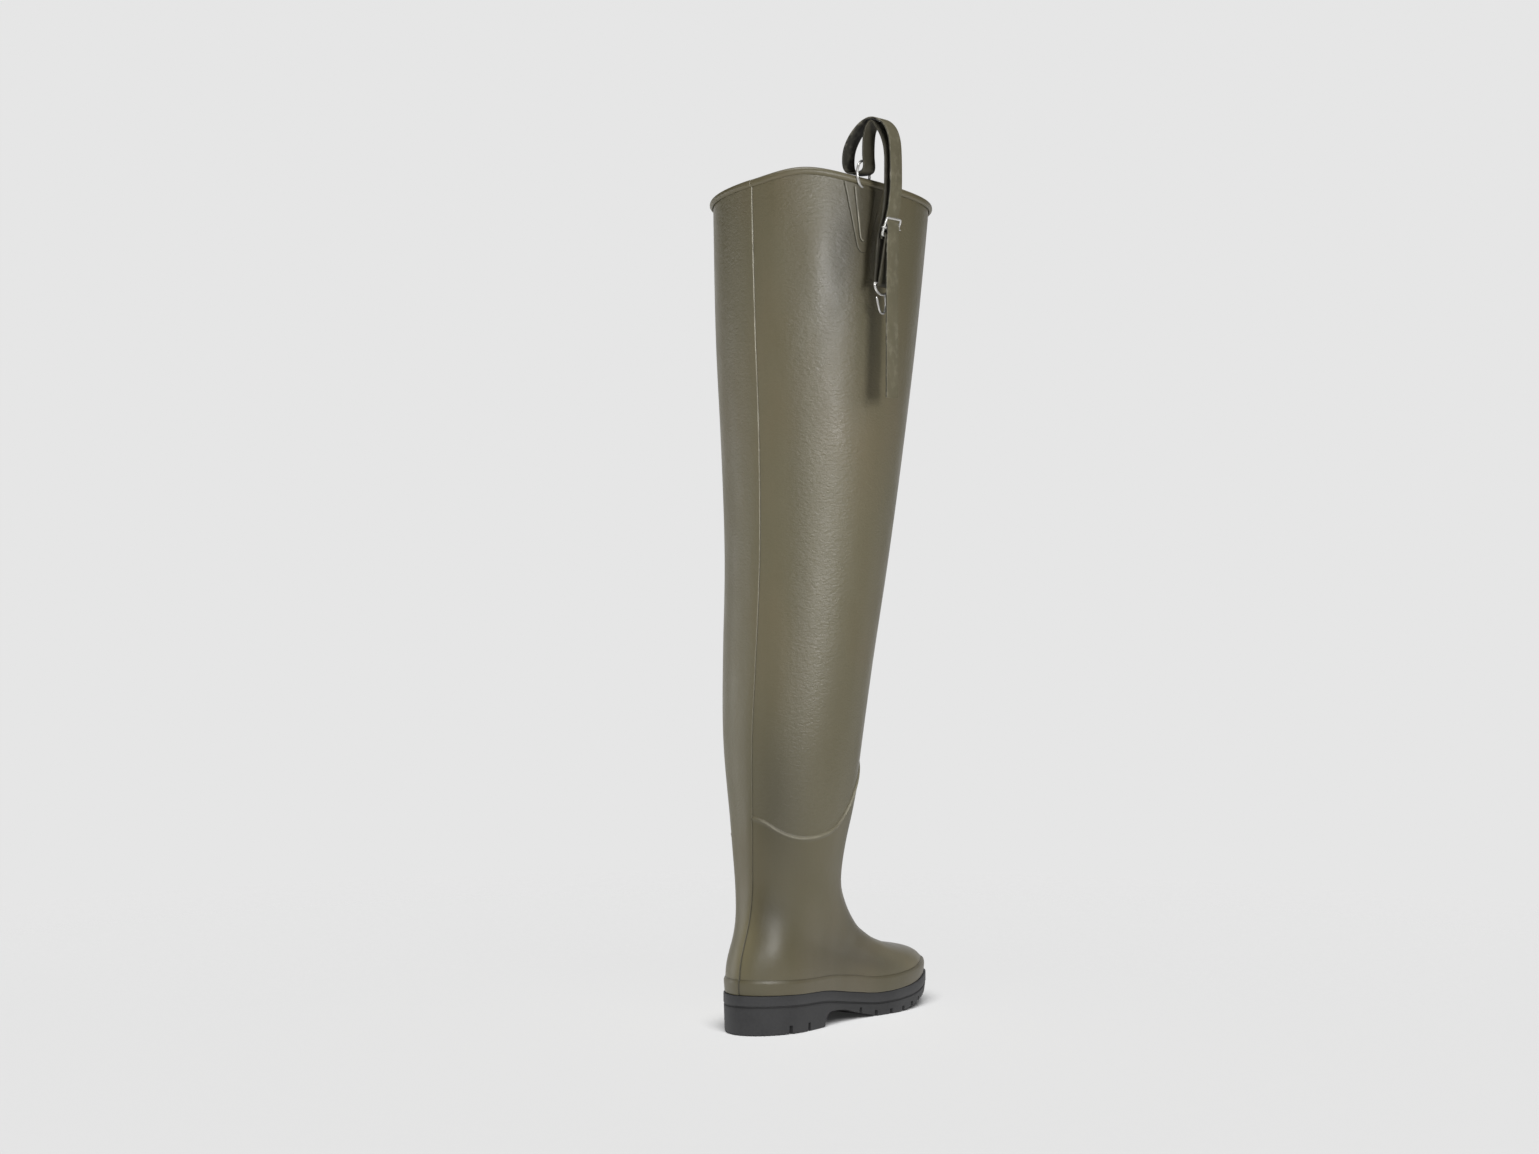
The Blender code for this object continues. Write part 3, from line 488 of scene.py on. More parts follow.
def eased_round(stations, mirrored):
    """Height at fine, even turns, eased and carried on round; a mirrored table is the same on both sides."""
    turns = np.linspace(-0.5, 1.5, 1600)
    known_turns, heights = np.array(stations).T
    around = (turns - known_turns[0]) % 1 + known_turns[0]
    if mirrored:
        around = np.minimum(around, 1 - around)
    return turns, eased(turns, curve_through(known_turns, heights, around), TURN_EASE)


SECTION_LEVELS, SECTION_COLUMNS = eased_sections()
PLAN_ALONG, PLAN_CURVES = eased_plan()
EDGE_ROUND = eased_round(BOOT_EDGE, mirrored=True)
COLLAR_ROUND = eased_round(COLLAR_EDGE, mirrored=False)


def along_of(turn):
    """Share of the length that a turn round an outline has reached, from the back (0) to the front (1)."""
    return (1 - np.cos(2 * pi * np.asarray(turn, float))) / 2


def from_seam(turn):
    """Turn counted from the back seam, from -0.5 to 0.5, with the outer side above zero."""
    return (np.asarray(turn, float) + 0.5) % 1 - 0.5


def plan_fullness(along):
    """Middle line and fullness of the sole's outline at shares of its length."""
    return (np.interp(along, PLAN_ALONG, curve) for curve in PLAN_CURVES)


def sole_top(along):
    """Height of the sole's top edge at shares of its length."""
    return curve_through(*zip(*SOLE_TOP), along)


def sole_outline(turn, inset):
    """Outline of the sole from above, drawn in by inset."""
    along = along_of(turn)
    centre, fullness = plan_fullness(along)
    x = HEEL_BACK + inset + (SOLE_LENGTH - 2 * inset) * along
    y = centre - np.sin(2 * pi * np.asarray(turn)) * (fullness - inset)
    return x, y


def boot_edge(turn):
    """Height of the lower boot's top edge."""
    return np.interp(np.asarray(turn) % 1, *EDGE_ROUND)


def collar_level(turn):
    """Height of the upper's top edge."""
    return np.interp(np.asarray(turn) % 1, *COLLAR_ROUND)


def boot_point(level, turn):
    """Point of the upper's outer face before its steps, for arrays of levels and turns."""
    level, turn = np.broadcast_arrays(np.asarray(level, float), np.asarray(turn, float))
    back, front, front_height, half_width, lean, foot = (
        np.interp(level, SECTION_LEVELS, column) for column in SECTION_COLUMNS
    )
    along = along_of(turn)
    centre, fullness = plan_fullness(along)
    foot_fullness = half_width * fullness / max(station.half_width for station in SOLE_PLAN)
    widest = half_width * (1 - foot) + foot_fullness * foot
    x = back + (front - back) * along
    y = centre * foot - lean - np.sin(2 * pi * turn) * widest
    sole_line = SOLE_TOP[0].height * (1 - along) + SOLE_TOP[-1].height * along
    z = level * (1 - along) + front_height * along + foot * (sole_top(along) - sole_line)
    return np.stack([x, y, z], axis=-1)


def boot_normal(level, turn):
    """Outward unit normal of the upper's outer face."""
    up = boot_point(level + NORMAL_STEP, turn) - boot_point(level - NORMAL_STEP, turn)
    onward = boot_point(level, turn + NORMAL_STEP) - boot_point(level, turn - NORMAL_STEP)
    return unit(np.cross(onward, up))


def boot_skin(level, turn, offset):
    """Point at a distance outside (or, below zero, inside) the upper's outer face."""
    return boot_point(level, turn) + boot_normal(level, turn) * np.asarray(offset)[..., None]


def seam_step(turn):
    """Step where the inner side's sheet laps over the back seam, fading out round the inner side."""
    turn = from_seam(turn)
    lap = smoothstep(-SEAM_LAP_TURN, 0, turn)
    return SEAM_STEP * lap * (1 - smoothstep(0, SEAM_EDGE_TURN, turn))


def lip_step(above_edge):
    """The lower boot is thicker, and ends at the top in a rounded lip that stands out a little further."""
    lip = LIP_BULGE * smoothstep(-LIP_SLOPE - LIP_FALL, -LIP_SLOPE, above_edge)
    return (BOOT_STEP + lip) * (1 - smoothstep(-LIP_SLOPE, LIP_SLOPE, above_edge))


def lip_share(turn):
    """How much of the lip shows: none behind the back seam, where the lapping sheet runs over it."""
    turn = from_seam(turn)
    from_far_side = smoothstep(-LAP_HIDES_LIP_TURN - 0.04, -LAP_HIDES_LIP_TURN, turn)
    return 1 - from_far_side * (1 - smoothstep(-0.001, 0.0005, turn))


def soft_patches(points, patches):
    """Sum of soft patches at points of the upper's outer face."""
    total = np.zeros(points.shape[:-1])
    for patch in patches:
        outward = boot_normal(patch.level, np.array(patch.turn))
        upward = unit(UP - outward * outward[2])
        sideways = np.cross(upward, outward)
        tilt = radians(patch.tilt)
        offset = points - boot_point(patch.level, patch.turn)
        along = offset @ (upward * cos(tilt) + sideways * sin(tilt)) / patch.reach_along
        across = offset @ (sideways * cos(tilt) - upward * sin(tilt)) / patch.reach_across
        depth = offset @ outward / PATCH_DEPTH
        total += patch.amount * np.exp(-(along**2) - across**2 - depth**2)
    return total


def grid_faces(numbers):
    """Faces of rows of point numbers that go all the way round."""
    right = np.roll(numbers, -1, axis=1)
    return np.stack([numbers[:-1], right[:-1], right[1:], numbers[1:]], axis=-1).reshape(-1, 4).tolist()


def ladder(row):
    """Faces across a closed row that is even about its first point: rungs join its two sides."""
    count = len(row)
    half = count // 2
    faces = [(row[0], row[1], row[count - 1])]
    for j in range(1, half - 1):
        faces.append((row[j], row[j + 1], row[count - j - 1], row[count - j]))
    faces.append((row[half - 1], row[half], row[half + 1]))
    return faces


def closed_rows(rows, ends):
    """Points and faces of a stack of closed rows; its ends are open, joined, flat or crossed by rungs."""
    rows = np.asarray(rows, float)
    numbers = np.arange(rows.shape[0] * rows.shape[1]).reshape(rows.shape[:2])
    if ends == "joined":
        numbers = np.concatenate([numbers, numbers[:1]])
    faces = grid_faces(numbers)
    for row in (numbers[0].tolist(), numbers[-1].tolist()):
        if ends == "flat":
            faces.append(tuple(row))
        elif ends == "rungs":
            faces += ladder(row)
    return rows.reshape(-1, 3), faces


def prism(profile):
    """Solid of a side profile of (x, z) points, taken across the foot."""
    count = len(profile)
    points = [(x, y, z) for y in (-CUTTER_HALF_WIDTH, CUTTER_HALF_WIDTH) for x, z in profile]
    ends = [tuple(range(count)), tuple(range(count, 2 * count))]
    return points, ends + grid_faces(np.arange(2 * count).reshape(2, count))


def tube(centres, radius, sides=16, closed=False):
    """Points and faces of a round wire along a line of centres, its ends rounded unless it is closed."""
    centres = np.asarray(centres, float)
    radii = np.full(len(centres), radius)
    if closed:
        tangents = unit(np.roll(centres, -1, axis=0) - np.roll(centres, 1, axis=0))
    else:
        tangents = unit(np.gradient(centres, axis=0))
        tip = np.radians((15, 45, 70))
        start = [centres[0] + tangents[0] * radius * (1 - np.cos(a)) for a in tip]
        end = [centres[-1] - tangents[-1] * radius * (1 - np.cos(a)) for a in tip[::-1]]
        centres = np.concatenate([start, centres[1:-1], end])
        tangents = np.concatenate([[tangents[0]] * 3, tangents[1:-1], [tangents[-1]] * 3])
        radii = np.concatenate([np.sin(tip) * radius, radii[1:-1], np.sin(tip)[::-1] * radius])
    plane = np.linalg.svd(centres - centres.mean(axis=0))[2][2]
    angles = np.arange(sides) * 2 * pi / sides
    side = unit(np.cross(tangents, plane))
    up = np.cross(side, tangents)
    spokes = side[:, None] * np.cos(angles)[:, None] + up[:, None] * np.sin(angles)[:, None]
    rows = centres[:, None] + spokes * radii[:, None, None]
    return closed_rows(rows, "joined" if closed else "flat")


def joined(*shapes):
    """Points and faces of several shapes as one."""
    points, faces = [], []
    for shape_points, shape_faces in shapes:
        shift = sum(len(part) for part in points)
        points.append(np.asarray(shape_points, float))
        faces += [tuple(int(corner) + shift for corner in face) for face in shape_faces]
    return np.concatenate(points), faces


def rounded_box(half_width, half_height, radius, steps):
    """Points (across, up) round a box with rounded corners."""
    points = []
    for quarter, (side, rise) in enumerate(((1, 1), (-1, 1), (-1, -1), (1, -1))):
        middle = np.array((side * (half_width - radius), rise * (half_height - radius)))
        for a in np.radians(np.linspace(90 * quarter, 90 * quarter + 90, steps)):
            points.append(middle + radius * np.array((cos(a), sin(a))))
    return np.array(points)


def new_object(name, shape):
    """Object of (points, faces) with its faces turned outwards and smooth."""
    points, faces = shape
    mesh = bpy.data.meshes.new(name)
    mesh.from_pydata(np.asarray(points, float).tolist(), [], faces)
    solid = bmesh.new()
    solid.from_mesh(mesh)
    bmesh.ops.recalc_face_normals(solid, faces=solid.faces)
    solid.to_mesh(mesh)
    solid.free()
    mesh.shade_smooth()
    made = bpy.data.objects.new(name, mesh)
    pieces.objects.link(made)
    return made


def add_piece(node, shape, materials, sharp_from=None, body="boot"):
    """The piece that stands for a CAD node and rides on its body."""
    piece = new_object("wader_" + node, shape)
    for material in materials:
        piece.data.materials.append(material)
    if sharp_from:
        piece.data.set_sharp_from_angle(angle=radians(sharp_from))
    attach(piece, body)
    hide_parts(node)
    return piece


def paint(piece, **layers):
    """Stores values at a piece's points for its material: one for all, or one each for the first points."""
    count = len(piece.data.vertices)
    for name, values in layers.items():
        values = np.ravel(values) if np.ndim(values) else np.full(count, values)
        values = np.pad(values, (0, count - values.size))
        attribute = piece.data.attributes.new(name, "FLOAT", "POINT")
        attribute.data.foreach_set("value", values.astype(np.float32))


def apply_cuts(target, cutters):
    """Cuts the cutters out of a piece for good, and removes them."""
    for cutter in cutters:
        modifier = target.modifiers.new(cutter.name, "BOOLEAN")
        modifier.operation = "DIFFERENCE"
        modifier.solver = "EXACT"
        modifier.object = cutter
    graph = bpy.context.evaluated_depsgraph_get()
    mesh = bpy.data.meshes.new_from_object(target.evaluated_get(graph))
    target.modifiers.clear()
    target.data = mesh
    for cutter in cutters:
        bpy.data.objects.remove(cutter)


class Look:
    """A Principled material with short calls for the nodes that feed it."""

    def __init__(self, name, roughness=0.5, metallic=0.0):
        self.material = bpy.data.materials.new(name)
        self.material.use_nodes = True
        self.nodes = self.material.node_tree.nodes
        self.links = self.material.node_tree.links
        self.shader = self.nodes["Principled BSDF"]
        self.place = self.nodes.new("ShaderNodeTexCoord").outputs["Object"]
        self.put("Roughness", roughness)
        self.put("Metallic", metallic)

    def feed(self, socket, value):
        """Sets a socket to a plain value or colour, or links it to a node's output."""
        if isinstance(value, bpy.types.NodeSocket):
            self.links.new(value, socket)
        elif socket.type == "RGBA":
            socket.default_value = (*value, 1)
        else:
            socket.default_value = value

    def put(self, socket, value):
        """Feeds a socket of the shader."""
        self.feed(self.shader.inputs[socket], value)

    def node(self, kind, sockets):
        """A new node with some of its sockets fed."""
        made = self.nodes.new("ShaderNode" + kind)
        for socket, value in sockets.items():
            self.feed(made.inputs[socket], value)
        return made

    def stored(self, name):
        """A value that paint() stored on the piece."""
        node = self.nodes.new("ShaderNodeAttribute")
        node.attribute_name = name
        return node.outputs["Fac"]

    def noise(self, scale, detail=2.0, stretch=(1, 1, 1), roughness=0.5):
        """Noise of about scale cells a metre, its cells longer where the stretch is below 1."""
        place = self.node("Mapping", {"Vector": self.place, "Scale": stretch}).outputs["Vector"]
        sockets = {"Vector": place, "Scale": scale, "Detail": detail, "Roughness": roughness}
        return self.node("TexNoise", sockets).outputs["Fac"]

    def spread(self, value, low, high, from_low=0.3, from_high=0.7):
        """A value taken from one range to another, and kept within it."""
        sockets = {"Value": value, "From Min": from_low, "From Max": from_high, "To Min": low, "To Max": high}
        return self.node("MapRange", sockets).outputs["Result"]

    def math(self, operation, first, second):
        """Sum or product of two values."""
        node = self.nodes.new("ShaderNodeMath")
        node.operation = operation
        self.feed(node.inputs[0], first)
        self.feed(node.inputs[1], second)
        return node.outputs["Value"]

    def mix(self, share, first, second):
        """Colour between two colours."""
        node = self.nodes.new("ShaderNodeMix")
        node.data_type = "RGBA"
        self.feed(node.inputs["Factor"], share)
        self.feed(node.inputs["A"], first)
        self.feed(node.inputs["B"], second)
        return node.outputs["Result"]

    def lighten(self, colour, share):
        """A colour made lighter, or darker where the share is below zero."""
        sockets = {"Color": colour, "Value": self.math("ADD", share, 1.0)}
        return self.node("HueSaturation", sockets).outputs["Color"]

    def bump(self, height, distance, strength, under=None):
        """Normal of a relief of that depth, on top of another one."""
        node = self.node("Bump", {"Height": height, "Distance": distance, "Strength": strength})
        if under is not None:
            self.links.new(under, node.inputs["Normal"])
        return node.outputs["Normal"]


def olive_rubber():
    """Satin rubber: browner and smooth on the lower boot, greyer with a fine canvas grain on the leg, with
    painted light and shade.
    """
    look = Look("olive_rubber")
    leg = look.stored("leg")
    tone = look.noise(11, 3, (1, 1, 0.3))
    colour = look.mix(leg, look.mix(tone, FOOT_DARK, FOOT_LIGHT), look.mix(tone, LEG_DARK, LEG_LIGHT))
    colour = look.mix(look.spread(look.noise(13, 3, (1, 1, 0.45)), 0.0, 0.55, 0.45, 0.70), colour, BROWN)
    streaks = look.noise(120, 2, (1, 1, 0.035))
    colour = look.mix(look.spread(streaks, 0.0, 0.35), colour, LEG_DARK)
    canvas = look.noise(430, 3, (0.6, 0.6, 1.0), 0.6)
    colour = look.mix(look.spread(canvas, 0.0, 0.30), colour, LEG_DARK)
    # Stored tone: mostly painted light and shade in soft places, and the band, patch and tab darker all over
    colour = look.lighten(colour, look.stored("tone"))
    # Pale marks on the seam, lip and edges, partly worn rubber and partly painted highlight, broken up by
    # noise
    broken = look.spread(look.noise(55, 3, (0.3, 0.3, 1)), 0.25, 1.0, 0.35, 0.6)
    colour = look.mix(look.math("MULTIPLY", look.stored("wear"), broken), colour, WORN_AND_HIGHLIGHT)
    # Painted shade beside the back seam, under the band's top edge and round the patch and tab
    colour = look.mix(look.stored("shade"), colour, PAINTED_SHADE_DARK)
    look.put("Base Color", colour)
    cloud = look.noise(38, 3, (1, 1, 0.5))
    look.put("Roughness", look.spread(cloud, 0.39, 0.50))
    look.put("Specular IOR Level", 0.65)
    waves = look.bump(look.noise(26, 2, (1, 1, 0.22)), 0.0030, 0.20)
    pebble = look.bump(look.noise(190, 2), 0.0016, look.spread(leg, 0.05, 0.11, 0, 1), waves)
    grain = look.bump(canvas, 0.0008, look.spread(leg, 0.12, 0.60, 0, 1), pebble)
    look.put("Normal", grain)
    return look.material


def sole_rubber():
    """Dark matte rubber with a moulded skin, dusty on the raised parts."""
    look = Look("sole_rubber")
    tone = look.noise(24, 4)
    dust = look.noise(420, 3)
    colour = look.mix(look.spread(dust, 0.0, 0.25), look.mix(tone, SOLE_DARK, SOLE_LIGHT), SOLE_LIGHT)
    # The stored tone is painted light and shade along the sole, in its groove and on its band's edge
    look.put("Base Color", look.lighten(colour, look.stored("tone")))
    look.put("Roughness", look.spread(tone, 0.58, 0.72))
    look.put("Specular IOR Level", 0.35)
    look.put("Normal", look.bump(dust, 0.0004, 0.25))
    return look.material


def blue_knit():
    """Knitted lining: fine ribs up the leg with a fuzzy, matte face."""
    look = Look("blue_knit", roughness=0.9)
    ribs = look.noise(700, 2, (1, 1, 0.35))
    fuzz = look.noise(1500, 2)
    look.put("Base Color", look.mix(ribs, LINING_DARK, LINING_LIGHT))
    look.put("Specular IOR Level", 0.15)
    look.put("Normal", look.bump(fuzz, 0.0004, 0.4, look.bump(ribs, 0.0008, 0.5)))
    return look.material


def strap_rubber(name, dark, light, roughness):
    """Rubbered webbing with the faint cross grain of its cloth."""
    look = Look(name, roughness=roughness)
    tone = look.noise(60, 3)
    weave = look.noise(900, 2, (0.5, 1, 1))
    colour = look.mix(tone, dark, light)
    # Pale edges, partly worn and partly painted highlight, and painted shade on the inner lanes
    rubbed = look.spread(look.noise(140, 3), 0.0, 1.0, 0.50, 0.68)
    colour = look.mix(look.math("MULTIPLY", look.stored("wear"), rubbed), colour, WORN_AND_HIGHLIGHT)
    look.put("Base Color", look.mix(look.stored("dim"), colour, STRAP_SHADE))
    look.put("Specular IOR Level", 0.4)
    look.put("Normal", look.bump(weave, 0.0004, 0.22))
    return look.material


def nickel_wire():
    """Bright plated wire with faint drawing marks."""
    look = Look("nickel_wire", metallic=0.55)
    marks = look.noise(900, 2)
    look.put("Base Color", NICKEL)
    look.put("Roughness", look.spread(marks, 0.14, 0.26))
    return look.material


def upper_turns():
    """Turns of the upper's columns, closer together at the back seam."""
    even = np.arange(EVEN_COLUMNS) / EVEN_COLUMNS
    return np.sort(np.append(even, (np.array(SEAM_COLUMNS) * SEAM_EDGE_TURN) % 1))


def upper_levels(turns):
    """Levels of the upper's rows at each column, from the feather line to the collar."""
    edge = boot_edge(turns)
    collar = collar_level(turns)
    first, last = FOOT_LEVELS
    rows = [np.full(len(turns), level) for level in np.linspace(first, last, FOOT_ROWS)]
    rows += [last + share * (edge - LIP_BELOW - last) for share in np.linspace(0, 1, SHAFT_ROWS + 1)[1:]]
    rows += [edge + above for above in np.linspace(-LIP_BELOW, LIP_ABOVE, LIP_ROWS + 1)[1:]]
    start = edge + LIP_ABOVE
    rows += [start + share * (collar - start) for share in np.linspace(0, 1, LEG_ROWS + 1)[1:]]
    return np.array(rows)


def lower_boot(above_edge, turns):
    """How far the lower boot's wall stands out, and where the leg above it begins."""
    shown = lip_share(turns)
    evened = 1 - smoothstep(-LAP_EVENS_OUT, LAP_EVENS_OUT, above_edge)
    step = lip_step(above_edge) * shown + BOOT_STEP * evened * (1 - shown)
    leg = smoothstep(-0.0005, 0.0015, above_edge) * shown + (1 - evened) * (1 - shown)
    return step, leg


def seam_looks(above_edge, turns):
    """Dark line of painted shade beside the back seam, wider down the heel, and pale marks on seam and lip,
    partly worn, partly painted highlight.
    """
    beside = from_seam(turns)
    line_width = SEAM_EDGE_TURN * (0.9 - 0.55 * smoothstep(-0.12, 0.0, above_edge))
    shade = bell(beside - SEAM_EDGE_TURN, line_width) * (1.0 - 0.5 * smoothstep(0.20, 0.45, above_edge))
    on_seam = bell(beside - 0.3 * SEAM_EDGE_TURN, 0.4 * SEAM_EDGE_TURN)
    seam_wear = on_seam * (0.1 + 0.5 * smoothstep(0.08, 0.40, above_edge))
    on_lip = lip_share(turns) * bell(above_edge + 0.4 * LIP_SLOPE, LIP_SLOPE)
    lip_wear = 0.55 * on_lip * (0.25 + 0.75 * smoothstep(0.01, 0.05, np.abs(beside)))
    return shade, np.maximum(seam_wear, lip_wear)


def shell(outer, inner, turns):
    """Solid between an outer and an inner face of rows, with both lowest rows on the sole."""
    for face in (outer, inner):
        face[0, :, 2] = sole_top(along_of(turns)) + GAP
    return closed_rows(np.concatenate([outer, inner[::-1]]), "joined")


def build_upper():
    """Leg and foot in one hollow rubber shell, with the lining on its inside."""
    turns = upper_turns()
    levels = upper_levels(turns)
    above_edge = levels - boot_edge(turns)
    places = boot_point(levels, turns)
    step, leg = lower_boot(above_edge, turns)
    outer = boot_skin(levels, turns, step + seam_step(turns) + soft_patches(places, FOLDS))
    kept = np.unique(np.append(np.arange(0, len(levels), INNER_ROW_STEP), len(levels) - 1))
    inner = boot_skin(levels[kept], turns, -LEG_WALL)
    upper = add_piece("upper", shell(outer, inner, turns), (OLIVE, LINING))
    lined = np.arange(len(upper.data.polygons)) >= levels.size
    upper.data.polygons.foreach_set("material_index", lined.astype(np.int32))
    # Painted shade beside the back seam, pale seam and lip marks partly worn and partly painted highlight,
    # and soft places of painted light and shade
    shade, wear = seam_looks(above_edge, turns)
    paint(upper, leg=leg, tone=soft_patches(places, PAINTED_LIGHT_AND_TONE), shade=shade, wear=wear)


def build_foxing_band():
    """Band round the foot above the sole, higher round the forefoot, with a softly rounded top edge."""
    turns = upper_turns()
    raised = smoothstep(0.2, 0.5, along_of(turns))
    top = FOXING_HEEL_LEVEL + (FOXING_FRONT_LEVEL - FOXING_HEEL_LEVEL) * raised
    shares = np.sin(np.linspace(0, pi / 2, FOXING_ROWS))[:, None]
    levels = FOOT_LEVELS[0] + (top - FOOT_LEVELS[0]) * shares
    below_top = top - levels
    rounding = smoothstep(0, FOXING_ROUND, below_top) * 0.7
    rounding += smoothstep(0, FOXING_ROUND / 3, below_top) * 0.3
    inside = BOOT_STEP + seam_step(turns) + GAP
    outer = boot_skin(levels, turns, inside + FOXING_THICKNESS * rounding)
    inner = boot_skin(levels[:-1], turns, inside - GAP / 2)
    band = add_piece("foxing_band", shell(outer, inner, turns), (OLIVE,))
    # Painted shade under the top edge and beside the seam, a faint painted highlight on the rounded top, and
    # the whole band darker as painted shade
    beside_seam = bell(from_seam(turns) - SEAM_EDGE_TURN, 0.9 * SEAM_EDGE_TURN)
    shade = np.maximum(0.45 * bell(below_top, EDGE_SHADE_WIDTH), beside_seam)
    wear = 0.04 * bell(below_top - 0.6 * FOXING_ROUND, 0.5 * FOXING_ROUND)
    paint(band, leg=0.0, tone=-0.16, shade=shade, wear=wear)


def rounded(ring, times):
    """A closed line of points with its corners cut again and again."""
    for _ in range(times):
        after = np.roll(ring, -1, axis=0)
        pairs = np.stack([ring * 0.75 + after * 0.25, ring * 0.25 + after * 0.75], axis=1)
        ring = pairs.reshape(-1, ring.shape[-1])
    return ring


def build_collar_binding():
    """Bead folded over the collar: a rounded channel round both faces of the edge."""
    turns = upper_turns()
    collar = collar_level(turns)
    over = GAP + BINDING_THICKNESS
    outside = GAP
    inside = -LEG_WALL - GAP
    profile = (
        (-BINDING_DROP, outside),
        (-BINDING_DROP, outside + BINDING_THICKNESS),
        (-BINDING_DROP * 0.55, outside + BINDING_BULGE),
        (over * 0.1, outside + BINDING_BULGE * 0.8),
        (over, outside - LEG_WALL * 0.1),
        (over, inside + LEG_WALL * 0.1),
        (0.0, inside - BINDING_THICKNESS),
        (-BINDING_INNER_DROP, inside - BINDING_THICKNESS * 0.8),
        (-BINDING_INNER_DROP, inside),
        (GAP, inside),
        (GAP, outside),
    )
    rows = []
    for above, offset in rounded(np.array(profile), 2):
        seam_share = smoothstep(inside, outside, offset)
        rows.append(boot_skin(collar + above, turns, offset + seam_step(turns) * seam_share))
    binding = add_piece("collar_binding", closed_rows(rows, "joined"), (OLIVE,))
    paint(binding, leg=0.4)


def ring_frame():
    """Middle of the wall at the collar where the ring hangs, and the level ways outwards and forwards."""
    level = collar_level(RING_TURN)
    turn = np.array(RING_TURN)
    outward = unit(boot_normal(level, turn) * (1, 1, 0))
    return boot_skin(level, turn, -LEG_WALL / 2), outward, np.cross(UP, outward)


def slab(inner, outer):
    """Solid between two grids of points with the same rows and columns."""
    number = np.arange(inner.size // 3).reshape(inner.shape[:2])
    corners = (number[:-1, :-1], number[:-1, 1:], number[1:, 1:], number[1:, :-1])
    quads = np.stack(corners, axis=-1).reshape(-1, 4)
    rim = np.concatenate([number[0], number[1:, -1], number[-1, -2::-1], number[-2:0:-1, 0]])
    faces = quads.tolist() + (quads + number.size).tolist()
    faces += grid_faces(np.stack([rim, rim + number.size]))
    return np.concatenate([inner.reshape(-1, 3), outer.reshape(-1, 3)]), faces


def collar_tongue(top_width, foot_width, start, length, offset, thickness):
    """A tapering piece on the wall under the collar, about the ring, with a rounded foot and soft edges."""
    shares = np.sin(np.linspace(0, pi / 2, TONGUE_ROWS))
    narrowing = curve_through((0.0, 0.75, 0.93, 1.0), (1.0, 1.0, 0.95, 0.45), shares)
    across = np.sin(np.linspace(-pi / 2, pi / 2, TONGUE_COLUMNS)) / 2
    widths = (top_width + (foot_width - top_width) * shares) * narrowing
    ends = boot_point(TONGUE_LEVEL, np.array([RING_TURN - TONGUE_TURN_STEP, RING_TURN + TONGUE_TURN_STEP]))
    turn_per_metre = 2 * TONGUE_TURN_STEP / np.linalg.norm(ends[1] - ends[0])
    turns = RING_TURN + across[None, :] * widths[:, None] * turn_per_metre
    levels = collar_level(turns) - BINDING_DROP - 2 * GAP - start - length * shares[:, None]
    to_side = (0.5 - np.abs(across))[None, :] * widths[:, None]
    to_edge = np.minimum(to_side, length * (1 - shares)[:, None])
    inward = np.clip(to_edge / TONGUE_ROUND, 0, 1)
    height = thickness * (0.25 + 0.75 * np.sqrt(1 - (1 - inward) ** 2))
    shape = slab(boot_skin(levels, turns, offset), boot_skin(levels, turns, offset + height))
    backward = np.broadcast_to(across < 0, turns.shape)
    return shape, np.tile(to_edge.ravel(), 2), np.tile(backward.ravel(), 2)


def build_patch_and_tab():
    """The V-shaped patch under the collar, and the narrow tab on it."""
    tab_offset = GAP + PATCH_THICKNESS + GAP
    patch = collar_tongue(PATCH_TOP_WIDTH, PATCH_FOOT_WIDTH, 0.0, PATCH_LENGTH, GAP, PATCH_THICKNESS)
    tab = collar_tongue(TAB_TOP_WIDTH, TAB_FOOT_WIDTH, TAB_START, TAB_LENGTH, tab_offset, TAB_THICKNESS)
    # Each piece is darker all over, with painted shade round its edges and a painted highlight along its
    # backward edge, strongest on the tab
    for node, (shape, to_edge, backward), tone, outline, edge_wear in (
        ("strap_patch", patch, -0.30, 0.9, 0.15),
        ("ring_tab", tab, -0.45, 0.6, 0.75),
    ):
        piece = add_piece(node, shape, (OLIVE,), EDGE_SHARP_FROM)
        wear = edge_wear * backward * bell(to_edge - TONGUE_ROUND, 0.0006)
        paint(piece, leg=0.7, tone=tone, shade=outline * bell(to_edge, EDGE_SHADE_WIDTH), wear=wear)


def build_collar_ring():
    """The wire ring that goes through patch and wall under the binding."""
    centre, outward, forward = ring_frame()
    middle = centre + UP * RING_ABOVE_EDGE
    swing = radians(RING_SWING)
    across = outward * cos(swing) - forward * sin(swing)
    angles = np.linspace(0, 2 * pi, 97)[:-1]
    circle = [middle + RING_RADIUS * (cos(a) * across + sin(a) * UP) for a in angles]
    add_piece("collar_ring", tube(circle, RING_WIRE, closed=True), (WIRE,))


def strap_point(out, up):
    """Point in the strap's plane: out from the wall at the ring, and up from the strap's zero height."""
    centre = ring_frame()[0]
    return np.array([centre[0], centre[1] - out, STRAP_ZERO_HEIGHT + up])


def fold(bar, start, end, steps=24):
    """The strap folded round a bar: an arc from one angle to the other, 0 pointing outwards and 90 up."""
    out, up = bar
    angles = np.radians(np.linspace(start, end, steps + 1))
    return [strap_point(out + FOLD_RADIUS * cos(a), up + FOLD_RADIUS * sin(a)) for a in angles]


def even_steps(points, step):
    """A line's x, y and z, the length reached at each of its points, and even lengths about a step apart."""
    points = np.asarray(points)
    reached = np.concatenate([[0], np.cumsum(np.linalg.norm(np.diff(points, axis=0), axis=1))])
    return points.T, reached, np.linspace(0, reached[-1], int(reached[-1] / step) + 1)


